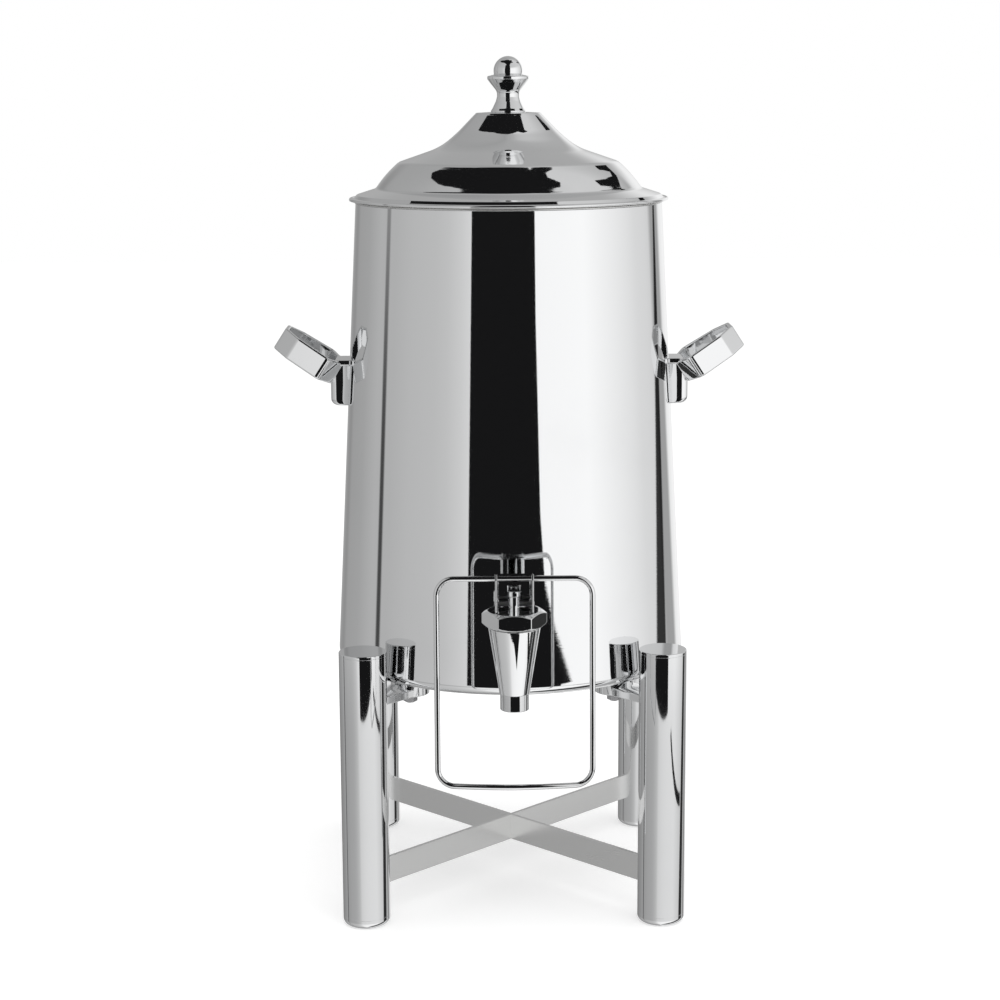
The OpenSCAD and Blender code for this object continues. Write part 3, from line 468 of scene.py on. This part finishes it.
LID_EDGE_R, LID_EDGE_RISE = 119.9, 0.3
LID_CORNERS = [(LID_EDGE_R, 1.2, 1.2), (116.5, 2.2, 1.2), (114.2, 4.5, 1.4), (100.0, 9.0, 5),
               (92.2, 19.6, 90), (82.5, 28.5, 10), (50.5, 39.5, 49), (37.5, 50.7, 60)]
CROWN_Z, CROWN_R, CROWN_EDGE, CROWN_BEND_R = RIM_Z + 64.5, 25.5, 1.5, 0.9
KNOB_SEAT_R = 13.5


def lid_curve(drop):
    """The lid's section from its rim to its crown, moved in and down by a drop: straight flanks
    between corners (radius, height above the rim) that are rounded with circles."""
    rim = (LID_EDGE_R - drop, RIM_Z + LID_EDGE_RISE)
    corners = [(r - drop, RIM_Z + h - drop, bend - drop) for r, h, bend in LID_CORNERS]
    crown_side = (CROWN_R - drop, CROWN_Z - CROWN_EDGE - drop, CROWN_BEND_R)
    crown_top = (CROWN_R - CROWN_EDGE - drop, CROWN_Z - drop, CROWN_BEND_R)
    return [rim, *corners, crown_side, crown_top, (KNOB_SEAT_R, KNOB_Z - drop), (0, KNOB_Z - drop)]


cover_outside, cover_inside = eased(lid_curve(0), steps=20), eased(lid_curve(LID_WALL), steps=10)
hem = arc((RIM_R - HEM_R, RIM_Z + HEM_R), HEM_R, 0, 360, 20)[:-1]
make_piece(
    "lid_spinning",
    [turned(np.concatenate([cover_inside[::-1], cover_outside]), 256), ring(hem, 256)],
    "lid", lid_polish, ["lid_cover"])

pan_profile = eased([
    (0, PLUG_LOW_Z), (PLUG_R, PLUG_LOW_Z, 3.0), (PLUG_R, LINER_Z, 0.5), (MOUTH_FLANGE_R, LINER_Z, 0.2),
    (MOUTH_FLANGE_R, LINER_Z + LINER_T, 0.2), (PLUG_R - LINER_T, LINER_Z + LINER_T, 0.5),
    (PLUG_R - LINER_T, PLUG_LOW_Z + LINER_T, 2.2), (0, PLUG_LOW_Z + LINER_T)])
make_piece("lid_pan", [turned(pan_profile, 192)], "lid", spun_satin, ["lid_liner"])

KNOB_FOOT_R, KNOB_NECK_LOW, KNOB_NECK_HIGH = 13.0, 11.2, 15.0
KNOB_NECK_R, KNOB_COLLAR_R, KNOB_HEAD_R = 8.3, 15.5, 10.75
collar_z, knob_top = KNOB_Z + 24, KNOB_Z + 41
head_z = knob_top - KNOB_HEAD_R
knob_profile = np.concatenate([
    eased([(0, KNOB_Z), (KNOB_FOOT_R, KNOB_Z, 0.3), (KNOB_FOOT_R - 0.1, KNOB_Z + 0.9, 0.5), (11.7, KNOB_Z + 2.6, 3),
           (9.2, KNOB_Z + 7.9, 8), (KNOB_NECK_R, KNOB_Z + KNOB_NECK_LOW, 3),
           (KNOB_NECK_R, KNOB_Z + KNOB_NECK_HIGH, 6),
           (13.6, KNOB_Z + 21.6, 14), (KNOB_COLLAR_R, collar_z + 0.2, 0.7), (KNOB_COLLAR_R, collar_z + 2.3, 0.9),
           (9.9, collar_z + 3.6, 0.5), (10.5, head_z - 2.2)], steps=10)[:-1],
    arc((0, head_z), KNOB_HEAD_R, -10, 90, 24)])
make_piece("lid_finial", [turned(knob_profile, 128)], "lid", lid_polish, ["lid_knob"])

# ---------------------------------------------------------------- handles


def post_surface():
    """A block against the tapered shell: each level is an outline whose back follows the shell's
    circle and whose front corners are round, and its reach shrinks on a circle towards the foot."""
    low, high, out = HANDLE_Z - POST_H, HANDLE_Z, HANDLE_X + POST_REACH
    edge = 0.8
    t = np.linspace(0, math.pi / 2, 11)
    heights = np.concatenate([low + POST_CORNER_R * (1 - np.cos(t)),
                              [low + POST_CORNER_R + 1, high - edge - HOLD, high - edge, high - 0.3 * edge, high]])
    reach = np.concatenate([out - POST_CORNER_R * (1 - np.sin(t)),
                            [out, out, out, out - 0.3 * edge, out - edge]])
    inset = np.concatenate([edge * (1 - np.sin(np.minimum(t * 2.5, math.pi / 2))),
                            [0, 0, 0, 0.3 * edge, edge]])
    rows = []
    for z, x, d in zip(heights, reach, inset):
        half = POST_W / 2 - d
        y_back = np.linspace(half, -half, 17)
        back = np.stack([np.sqrt(wall_r(z) ** 2 - y_back ** 2) - 0.05, y_back], -1)
        r = min(POST_CORNER_R - d, half - 1)
        right, left = arc((x - r, -half + r), r, -90, 0, 10), arc((x - r, half - r), r, 0, 90, 10)
        outline = np.concatenate([back, right, left])
        rows.append(np.column_stack([outline, np.full(len(outline), z)]))
    for k, z in ((0, heights[0]), (-1, heights[-1])):
        middle = np.array([wall_r(z) + 6, 0, z])
        rows.insert(0 if k == 0 else len(rows), np.repeat(middle[None], len(rows[0]), 0))
    return skin(np.stack(rows))


def loop_surfaces():
    """The bent band: a rounded flat section carried round a loop that lies on the slope, whose
    straight sides meet in round bends, and the flat tab that joins it to the top of the post."""
    half_t, half_b = BAND_T / 2, BAND_W / 2
    corners = np.concatenate([LOOP_SIDE, LOOP_SIDE[::-1] * (1, -1)])
    back, ahead = np.roll(corners, 1, 0) - corners, np.roll(corners, -1, 0) - corners
    back /= np.linalg.norm(back, axis=1)[:, None]
    ahead /= np.linalg.norm(ahead, axis=1)[:, None]
    middle = back + ahead
    middle /= np.linalg.norm(middle, axis=1)[:, None]
    half_angle = np.arccos((back * ahead).sum(1)) / 2
    centre_line = corners + middle * (half_t / np.sin(half_angle))[:, None]
    path = eased([(*corner, LOOP_BEND_R - half_t) for corner in centre_line], closed=True, steps=12)
    steps = len(path)
    run = np.roll(path, -1, 0) - np.roll(path, 1, 0)
    run /= np.linalg.norm(run, axis=1)[:, None]
    slope_x = np.array([math.cos(LOOP_SLOPE), 0, math.sin(LOOP_SLOPE)])
    slope_z = np.array([-math.sin(LOOP_SLOPE), 0, math.cos(LOOP_SLOPE)])
    origin = np.array([HANDLE_X, 0, HANDLE_Z - LOOP_DROP])
    lay = np.array([slope_x, [0, 1, 0]])
    across = np.stack([-run[:, 1], run[:, 0]], -1) @ lay
    side = np.repeat(slope_z[None], steps, 0)
    section = eased([(a * half_t, b * half_b, BAND_EDGE_R) for a, b in ((-1, -1), (1, -1), (1, 1), (-1, 1))],
                    closed=True)
    band = carried(origin + path @ lay, across, side, section)
    r = TAB_CORNER_R
    back_x, front_x, half = HANDLE_X - 3, HANDLE_X + TAB_REACH - r, TAB_W / 2 - r
    tab_outline = convex_outline(
        [(back_x + r, -half), (front_x, -half), (front_x, half), (back_x + r, half)], r, 120)
    tab = plate(tab_outline, HANDLE_Z, HANDLE_Z + TAB_T, 0.8)
    return [band, tab]


post = post_surface()
loop = loop_surfaces()
make_piece("handle_block_right", [post], "urn", bright, ["handle_post_right"])
make_piece("handle_block_left", [mirrored(post)], "urn", bright, ["handle_post_left"])
make_piece("handle_band_right", loop, "urn", bright, ["handle_loop_right"])
make_piece("handle_band_left", [mirrored(s) for s in loop], "urn", bright, ["handle_loop_left"])

# ---------------------------------------------------------------- stand

tube_profile = eased([
    (LEG_R, FOOT_H, 0.1), (LEG_R, LEG_H - CAP_T, 0.1), (LEG_R - LEG_WALL, LEG_H - CAP_T, 0.25),
    (LEG_R - LEG_WALL, FOOT_H, 0.25)], closed=True)
plug_r = LEG_R - LEG_WALL - 0.1
top_cap = eased([
    (0, LEG_H - CAP_T - CAP_PLUG), (plug_r, LEG_H - CAP_T - CAP_PLUG, 0.5), (plug_r, LEG_H - CAP_T, 0.2),
    (LEG_R, LEG_H - CAP_T, 0.1), (LEG_R, LEG_H, 0.6), (0, LEG_H)])
foot_cap = eased([
    (0, 0), (LEG_R, 0, 4.5), (LEG_R, FOOT_H, 0.1), (plug_r, FOOT_H, 0.2),
    (plug_r, FOOT_H + CAP_PLUG, 0.5), (0, FOOT_H + CAP_PLUG)], steps=8)
for sx, sy, place in CORNERS:
    make_piece("leg_" + place, [ring(tube_profile, 96, (sx * LEG_XY, sy * LEG_XY, 0))],
               "urn", leg_polish, ["leg_tube_" + place])
    turn = math.atan2(sy, sx)
    arm = plate(convex_outline(
        [(PAD_RADIAL, -ARM_W / 2 + 1), (LEG_RADIAL - 8, -ARM_W / 2 + 1), (LEG_RADIAL - 8, ARM_W / 2 - 1),
         (PAD_RADIAL, ARM_W / 2 - 1)], 1, 120), ARM_Z, ARM_Z + ARM_T, 0.6)
    pad = turned(eased([(0, ARM_Z), (PAD_D / 2, ARM_Z, 0.8), (PAD_D / 2, ARM_Z + ARM_T + PAD_H, 0.5),
                        (0, ARM_Z + ARM_T + PAD_H)]), 96, (PAD_RADIAL, 0, 0))
    ways = ((math.cos(turn), math.sin(turn), 0), (-math.sin(turn), math.cos(turn), 0), (0, 0, 1))
    make_piece("arm_" + place, [moved(s, (0, 0, 0), *ways) for s in (arm, pad)],
               "urn", leg_polish, ["bracket_" + place])
make_piece("tube_tops", [turned(top_cap, 96, (sx * LEG_XY, sy * LEG_XY, 0)) for sx, sy, _ in CORNERS],
           "urn", leg_polish, ["leg_top_caps"])
make_piece("tube_feet", [turned(foot_cap, 96, (sx * LEG_XY, sy * LEG_XY, 0)) for sx, sy, _ in CORNERS],
           "urn", leg_polish, ["leg_foot_caps"])

# ---------------------------------------------------------------- faucet

body_top = BONNET_Z - BONNET_T
cone_profile = eased([
    (BORE_R, SEAT_Z - SEAT_T), (BORE_R, TIP_Z, 0.4), (TIP_R, TIP_Z, 0.5), (TIP_R, CONE_FOOT_Z, 0.2),
    (TIP_R + 0.5, CONE_FOOT_Z, 0.25), (NECK_R + 0.5, CONE_TOP_Z, 0.35), (NECK_R, CONE_TOP_Z),
    (NECK_R, body_top, 0.3), (NECK_BORE_R, body_top, 0.3), (NECK_BORE_R, body_top - BONNET_PLUG_H, 0.2),
    (CHAMBER_R, body_top - BONNET_PLUG_H, 0.3), (CHAMBER_R, SEAT_Z, 1.0), (SEAT_R, SEAT_Z, 0.4),
    (SEAT_R, SEAT_Z - SEAT_T, 0.4)], closed=True)
seal_y = -wall_r(INLET_Z) - 2
shank_start_y = VALVE_Y + 16
shank_profile = eased([
    (0, shank_start_y), (INLET_R, shank_start_y), (INLET_R, seal_y - SEAL_T, 0.8), (SEAL_R, seal_y - SEAL_T, 0.5),
    (SEAL_R, seal_y, 0.3), (THREAD_R, seal_y, 0.1), (THREAD_R, SHANK_END_Y, 0.8), (0, SHANK_END_Y)])
make_piece(
    "faucet_casting",
    [ring(cone_profile, 160, (0, VALVE_Y, 0)), turned(shank_profile, 96, (0, 0, INLET_Z), "y")],
    "urn", bright, ["faucet_body"])


def soft_min(a, b, reach):
    """The smaller of two lengths, with the corner between them rounded over a reach."""
    near = np.maximum(reach - np.abs(a - b), 0) / reach
    return np.minimum(a, b) - near ** 2 * reach / 4


def cap_nut_surface():
    """A hexagonal nut: round its side the radius is the smallest of the hexagon's flats, apothem /
    cos(angle), and of two cones that bevel its corners by 30 degrees; inside it is turned."""
    sides, low = 480, BONNET_Z - BONNET_H
    t = np.linspace(0, 2 * math.pi, sides, endpoint=False)
    apothem = BONNET_R * math.cos(math.pi / 6)
    turn = np.abs(np.mod(t, math.pi / 3) - math.pi / 6)
    hexagon = soft_min(apothem / np.cos(turn), apothem / np.cos(math.pi / 3 - turn), 0.5)
    rise = np.concatenate([np.linspace(0, 3, 31), np.linspace(3.2, BONNET_H - 3.2, 12),
                           np.linspace(BONNET_H - 3, BONNET_H, 31)])[:, None]
    cone = BONNET_FLAT_R + np.minimum(rise, BONNET_H - rise) / math.tan(math.radians(30))
    side = soft_min(hexagon[None], cone, 0.5)
    guide_r, thread_r = STEM_R + 0.06, NECK_R + 0.1
    plug_r_in, plug_low = NECK_BORE_R - 0.1, body_top - BONNET_PLUG_H
    inside = eased([(BONNET_FLAT_R - 1, BONNET_Z), (guide_r, BONNET_Z, 0.3), (guide_r, plug_low, 0.2),
                    (plug_r_in, plug_low, 0.3), (plug_r_in, body_top), (thread_r, body_top),
                    (thread_r, low, 0.3), (BONNET_FLAT_R - 0.4, low)])
    radius = np.concatenate([side, np.repeat(inside[:, :1], sides, 1)])
    height = np.concatenate([low + rise[:, 0], inside[:, 1]])[:, None]
    points = np.stack([radius * np.cos(t), radius * np.sin(t) + VALVE_Y, height + 0 * radius], -1)
    return skin(np.concatenate([points, points[:1]]))


make_piece("faucet_cap", [cap_nut_surface()], "urn", bright, ["faucet_bonnet"])
STEM_FOOT_Z, STEM_STEP_Z, STEM_FOOT_R = SEAT_Z + 2.1, SEAT_Z + 6.1, 2.5
STEM_HEAD_Z, STEM_TOP_Z, STEM_HEAD_R = 264.5, 268.5, 5.0
stem_profile = eased([
    (0, STEM_FOOT_Z), (STEM_FOOT_R, STEM_FOOT_Z, 0.2), (STEM_FOOT_R, STEM_STEP_Z, 0.1), (STEM_R, STEM_STEP_Z, 0.3),
    (STEM_R, STEM_HEAD_Z, 0.3), (STEM_HEAD_R, STEM_HEAD_Z, 0.4), (STEM_HEAD_R, STEM_TOP_Z, 0.9), (0, STEM_TOP_Z)])
make_piece("valve_rod", [turned(stem_profile, 64, (0, VALVE_Y, 0))], "valve", bright,
           ["valve_stem"])

COIL_R, COIL_WIRE_R, COIL_TURNS, COIL_LOW_Z, COIL_HIGH_Z = 5.0, 0.5, 4, 235.6, 245.95


def coil_surface():
    """A coil spring: the wire's centre goes round the stem by an even turn while it rises evenly, and
    the wire's section is a circle that shrinks to a point at both ends."""
    t = np.concatenate([[0], np.linspace(0, 1, 48 * COIL_TURNS + 1), [1]])[:, None]
    wire = np.full_like(t, COIL_WIRE_R)
    wire[[0, -1]] = 0
    a, b = 2 * math.pi * COIL_TURNS * t, np.linspace(0, 2 * math.pi, 16, endpoint=False)
    r = COIL_R + wire * np.cos(b)
    z = COIL_LOW_Z + (COIL_HIGH_Z - COIL_LOW_Z) * t + wire * np.sin(b)
    return skin(np.stack([r * np.cos(a), VALVE_Y + r * np.sin(a), z], -1))


coil = make_piece("valve_coil", [coil_surface()], "urn", machined, ["valve_spring"])
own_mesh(coil)

# ---------------------------------------------------------------- lever

cheek_x, back_y = YOKE_W / 2 - YOKE_WALL / 2, VALVE_Y + YOKE_DEPTH / 2 - YOKE_WALL / 2
front_y = VALVE_Y - YOKE_DEPTH / 2
bend_r = 2.2
plan = eased([(-cheek_x, front_y, 0), (-cheek_x, back_y, bend_r), (cheek_x, back_y, bend_r),
              (cheek_x, front_y, 0)], steps=8)
run = np.gradient(plan, axis=0)
run /= np.linalg.norm(run, axis=1)[:, None]
aside = np.stack([run[:, 1], -run[:, 0]], -1)
half_wall = YOKE_WALL / 2
strip_outline = np.concatenate([
    plan + aside * half_wall,
    plan[-1] + arc((0, 0), half_wall, 180, 360, 8)[1:-1],
    (plan - aside * half_wall)[::-1],
    plan[0] + arc((0, 0), half_wall, 180, 360, 8)[1:-1]])


def channel(outline, low, high, edge=0.3):
    """A thin closed outline raised from low to high. Its two ends close on the outline's own middle
    line: point k on one face meets the point across from it."""
    count = len(outline)
    partner = (2 * len(plan) + 6 - np.arange(count)) % count
    middle = (outline + outline[partner]) / 2
    rows = [(middle, low), (outline * 0.5 + middle * 0.5, low), (outline * 0.9 + middle * 0.1, low + 0.05),
            (outline, low + edge), (outline, low + edge + HOLD), (outline, high - edge - HOLD),
            (outline, high - edge), (outline * 0.9 + middle * 0.1, high - 0.05),
            (outline * 0.5 + middle * 0.5, high), (middle, high)]
    return skin(np.stack([np.column_stack([o, np.full(count, z)]) for o, z in rows]))


roof_r, ear_r = 1.5, WIRE_R + 1
roof_x, roof_front, roof_back = YOKE_W / 2 - roof_r, WIRE_Y + ear_r + roof_r, VALVE_Y + YOKE_DEPTH / 2 - roof_r
roof = plate(convex_outline([(-roof_x, roof_front), (roof_x, roof_front), (roof_x, roof_back),
                             (-roof_x, roof_back)], roof_r, 96),
             YOKE_Z + YOKE_H - YOKE_WALL, YOKE_Z + YOKE_H, 0.5)
ears = [ring(eased([(WIRE_R - 0.5, x), (ear_r, x, 0.3), (ear_r, x + YOKE_WALL, 0.3), (WIRE_R - 0.5, x + YOKE_WALL)],
                   closed=True), 48, (0, WIRE_Y, WIRE_Z), "x") for x in (-YOKE_W / 2, YOKE_W / 2 - YOKE_WALL)]
make_piece("lever_channel", [channel(strip_outline, YOKE_Z, WIRE_Z), roof, *ears], "lever",
           bright, ["lever_yoke"])


def wire_path():
    """Once round the wire: a rounded rectangle that leans forward, whose bottom swings out to the
    front by WIRE_BOW * (1 - |x / half width| ** 1.7)."""
    w, h, r = WIRE_HALF_W, WIRE_LOOP_H, WIRE_CORNER_R
    span = np.linspace(-1, 1, 41)[1:-1]
    down = np.linspace(0, 1, 25)[1:-1]
    flat = np.concatenate([
        np.stack([span * (w - r), 0 * span], -1), arc((w - r, -r), r, 90, 0, 12),
        np.stack([w + 0 * down, -r - down * (h - 2 * r)], -1), arc((w - r, -h + r), r, 0, -90, 12),
        np.stack([-span * (w - r), -h + 0 * span], -1), arc((-w + r, -h + r), r, -90, -180, 12),
        np.stack([-w + 0 * down, -h + r + down * (h - 2 * r)], -1), arc((-w + r, -r), r, 180, 90, 12)])
    x, z = flat[:, 0], flat[:, 1]
    low = np.clip((-z - (h - r)) / r, 0, 1)
    y = -WIRE_BOW * (1 - np.abs(x / w) ** 1.7) * low ** 2 * (3 - 2 * low)
    cos, sin = math.cos(WIRE_LEAN), math.sin(WIRE_LEAN)
    return np.stack([x, WIRE_Y + y * cos + z * sin, WIRE_Z - y * sin + z * cos], -1)


path = wire_path()
along = np.roll(path, -1, 0) - np.roll(path, 1, 0)
along /= np.linalg.norm(along, axis=1)[:, None]
side = np.array([0.0, -1.0, 0.0]) - along * along[:, 1:2] * -1
side /= np.linalg.norm(side, axis=1)[:, None]
make_piece("lever_rod", [carried(path, np.cross(along, side), side, arc((0, 0), WIRE_R, 0, 360, 28)[:-1])],
           "lever", bright, ["lever_wire"])
pin_reach = YOKE_W / 2 + 0.6
pin_profile = eased([(0, -pin_reach), (PIN_R, -pin_reach, 0.6), (PIN_R, pin_reach, 0.6), (0, pin_reach)])
make_piece("lever_pivot", [turned(pin_profile, 48, (0, VALVE_Y, PIN_Z), "x")], "lever",
           machined, ["pivot_pin"])

# ---------------------------------------------------------------- studio


def staged_sheet(name, corners, material, glossy_only=True):
    """One flat sheet of the studio, in metres about the urn's axis."""
    mesh = bpy.data.meshes.new(name)
    mesh.from_pydata([(x, y + AXIS_Y * MM, z) for x, y, z in corners], [], [list(range(len(corners)))])
    mesh.materials.append(material)
    sheet = bpy.data.objects.new(name, mesh)
    bpy.context.scene.collection.objects.link(sheet)
    if glossy_only:
        sheet.visible_camera = sheet.visible_diffuse = sheet.visible_shadow = False
        sheet.visible_transmission = sheet.visible_volume_scatter = False
    return sheet


def flat_black():
    """A near-black of fixed brightness that no light changes."""
    material = bpy.data.materials.new("black_velvet")
    material.use_nodes = True
    material.node_tree.nodes.clear()
    finish = Finish(material.node_tree)
    glow = finish.add("ShaderNodeEmission", None, {"Color": (0.0095, 0.0095, 0.0100, 1), "Strength": 1.0})
    finish.add("ShaderNodeOutputMaterial", None, {"Surface": glow.out(0)})
    return material


def floor_material():
    """Plain white that keeps a soft shadow and lifts to the backdrop's white for the camera."""
    material = bpy.data.materials.new("white_floor")
    material.use_nodes = True
    material.node_tree.nodes.clear()
    finish = Finish(material.node_tree)
    seen = finish.add("ShaderNodeLightPath").out("Is Camera Ray")
    matte = finish.add("ShaderNodeBsdfDiffuse", None, {"Color": (0.80, 0.80, 0.80, 1)})
    glow = finish.add("ShaderNodeEmission", None, {"Color": (1, 1, 1, 1), "Strength": seen * 0.42})
    both = finish.add("ShaderNodeAddShader", None, {0: matte.out(0), 1: glow.out(0)})
    finish.add("ShaderNodeOutputMaterial", None, {"Surface": both.out(0)})
    return material


LEFT_SEAM, RIGHT_SEAM = -100, 138  # compass directions in degrees, 0 to the front and 90 to the right


def build_world():
    """White for the camera, even white for the floor's light, and for polished metal a ring of
    studio panels whose brightness follows the compass direction, with two dark seams. The panels
    give way to a plainer ceiling above 13 to 30 degrees, and are duller just below the floor's line."""
    world = bpy.data.worlds.new("studio")
    bpy.context.scene.world = world
    world.use_nodes = True
    world.node_tree.nodes.clear()
    finish = Finish(world.node_tree)
    way = finish.add("ShaderNodeTexCoord").out("Generated")
    split = finish.add("ShaderNodeSeparateXYZ", None, {0: way})
    x, y, z = split.out(0), split.out(1), split.out(2)
    compass = x.angle_from(y * -1.0) * (1 / (2 * math.pi)) + 0.5
    panels = finish.add("ShaderNodeValToRGB", {"stops": [
        (place / 360 + 0.5, level) for place, level in (
            (-180, 0.36), (-172, 0.46), (-160, 0.33), (-152, 0.31), (-145, 0.39), (-125, 0.43), (-108, 0.52),
            (-92, 0.52), (-75, 0.57), (-55, 0.60), (-45, 0.64), (-35, 0.72), (-28, 0.80), (-20, 1.00),
            (0, 1.10), (20, 1.14), (55, 1.17), (65, 1.11), (80, 1.02), (95, 0.92), (105, 0.84), (118, 0.80),
            (124, 0.76), (129, 0.40), (142, 0.40), (148, 0.95), (160, 1.00), (170, 0.90), (175, 0.50), (180, 0.36))
    ]}, {"Fac": compass}).out(0)
    level = finish.add("ShaderNodeRGBToBW", None, {0: panels}).out(0)
    turn = compass * 360 - 180
    left_seam = (1 - abs(turn - LEFT_SEAM).between(1.0, 3.2)) * (1 - z.between(-0.10, 0.06) * 0.6)
    right_seam = 1 - (abs(turn - RIGHT_SEAM - z * 90) + (z + 0.05) * 28).between(1.5, 4.0)
    sky = finish.add("ShaderNodeValToRGB", {"stops": [
        (place / 360 + 0.5, level) for place, level in (
            (-180, 0.45), (-157, 0.40), (-120, 0.44), (-90, 0.50), (90, 0.74), (115, 0.72), (130, 0.60),
            (145, 0.50), (165, 0.46), (180, 0.45))]}, {"Fac": compass}).out(0)
    high = z.between(0.22, 0.50)
    low = (z * -1.0).between(0.22, 0.30) * (1 - (z * -1.0).between(0.40, 0.48))
    dark = level * (1 - low * 0.24) * (1 - left_seam * 0.86) * (1 - right_seam * 0.95)
    studio = dark * (1 - high) + finish.add("ShaderNodeRGBToBW", None, {0: sky}).out(0) * high
    paths = finish.add("ShaderNodeLightPath")
    camera, glossy = paths.out("Is Camera Ray"), paths.out("Is Glossy Ray")
    strength = camera + (1 - camera) * (glossy * studio + (1 - glossy) * 0.75)
    back = finish.add("ShaderNodeBackground", None, {"Color": (1, 1, 1, 1), "Strength": strength})
    finish.add("ShaderNodeOutputWorld", None, {"Surface": back.out(0)})


build_world()
velvet = flat_black()
floor = staged_sheet("floor", [(-6, -6, 0), (6, -6, 0), (6, 6, 0), (-6, 6, 0)], floor_material(), False)
floor.visible_glossy = False

# Black gaps between the studio's panels, each a flat sheet of corners on one level or one upright plane.
FRONT_Y, LOW_Y, NEAR_Y, GROUND_Z, OVERHEAD_Z = -1.30, -0.45, -0.26, 0.002, 2.0
GAPS = {
    "gap_front": [(x, FRONT_Y, z) for x, z in (
        (-0.69, -0.09), (1.05, -0.09), (0.66, 0.04), (0.50, 0.11), (0.44, 0.2), (0.40, 0.45), (0.41, 2.0),
        (-0.60, 2.0), (-0.66, 0.5))],
    "gap_low": [(x, LOW_Y, z) for x, z in ((-0.188, 0.064), (0.236, 0.064), (0.236, 0.13), (-0.188, 0.13))],
    "gap_near": [(x, NEAR_Y, z) for x, z in ((-0.010, 0.193), (0.034, 0.193), (0.018, 0.164))],
    "gap_right": [(x, y, GROUND_Z) for x, y in (
        (0.383, -0.52), (0.388, -0.10), (0.425, -0.10), (0.425, -0.52))],
    "gap_overhead": [(x, y, OVERHEAD_Z) for x, y in (
        (-0.35, FRONT_Y), (0.42, FRONT_Y), (0.50, -0.70), (0.85, -0.30), (0.80, -0.16), (0.56, -0.12),
        (0.50, 0.02), (0.58, 0.20), (0.42, 0.16), (0.28, 0.02), (0.0, 0.10), (-0.42, 0.14), (-0.64, 0.30),
        (-0.78, 0.46), (-0.90, 0.60), (-1.05, 0.68), (-1.15, 0.48), (-1.12, 0.12), (-1.05, -0.04),
        (-0.86, -0.30), (-0.60, -0.60))],
    "gap_overhead_right": [(x, y, OVERHEAD_Z) for x, y in (
        (1.37, 0.58), (1.60, 0.62), (1.95, 1.25), (2.10, 1.80), (1.78, 2.20), (1.42, 2.10), (1.20, 1.25),
        (1.30, 1.28), (1.55, 1.85), (1.66, 1.70), (1.56, 1.10))],
}
for name, corners in GAPS.items():
    staged_sheet(name, corners, velvet)

lamp = bpy.data.lights.new("soft_key", "AREA")
lamp.shape, lamp.size, lamp.size_y, lamp.energy = "RECTANGLE", 2.4, 2.4, 26
key = bpy.data.objects.new("soft_key", lamp)
key.location = (0.5, -0.6 + AXIS_Y * MM, 2.6)
key.rotation_euler = (math.radians(14), math.radians(10), 0)
key.visible_glossy = False
bpy.context.scene.collection.objects.link(key)

# ---------------------------------------------------------------- camera


def place_camera():
    """The camera stands before the urn and looks slightly down; its lens is on a 36 mm sensor."""
    pitch, yaw, roll = 0.19, 0.012, -0.005
    forward = np.array([math.sin(yaw) * math.cos(pitch), math.cos(yaw) * math.cos(pitch), -math.sin(pitch)])
    right = np.array([math.cos(yaw), -math.sin(yaw), 0])
    up = np.cross(right, forward)
    cam_x = math.cos(roll) * right + math.sin(roll) * up
    cam_y = -math.sin(roll) * right + math.cos(roll) * up
    data = bpy.data.cameras.new("camera")
    data.sensor_width, data.lens = 36.0, 36.0 * 2177.607 / 1000
    data.clip_start, data.clip_end = 0.05, 50
    camera = bpy.data.objects.new("camera", data)
    spot = (-0.027406, -1.654107 + AXIS_Y * MM, 0.617895)
    camera.matrix_world = Matrix([[cam_x[k], cam_y[k], -forward[k], spot[k]] for k in range(3)] + [[0, 0, 0, 1]])
    bpy.context.scene.collection.objects.link(camera)
    bpy.context.scene.camera = camera


place_camera()
bpy.context.scene.view_settings.view_transform = "Standard"
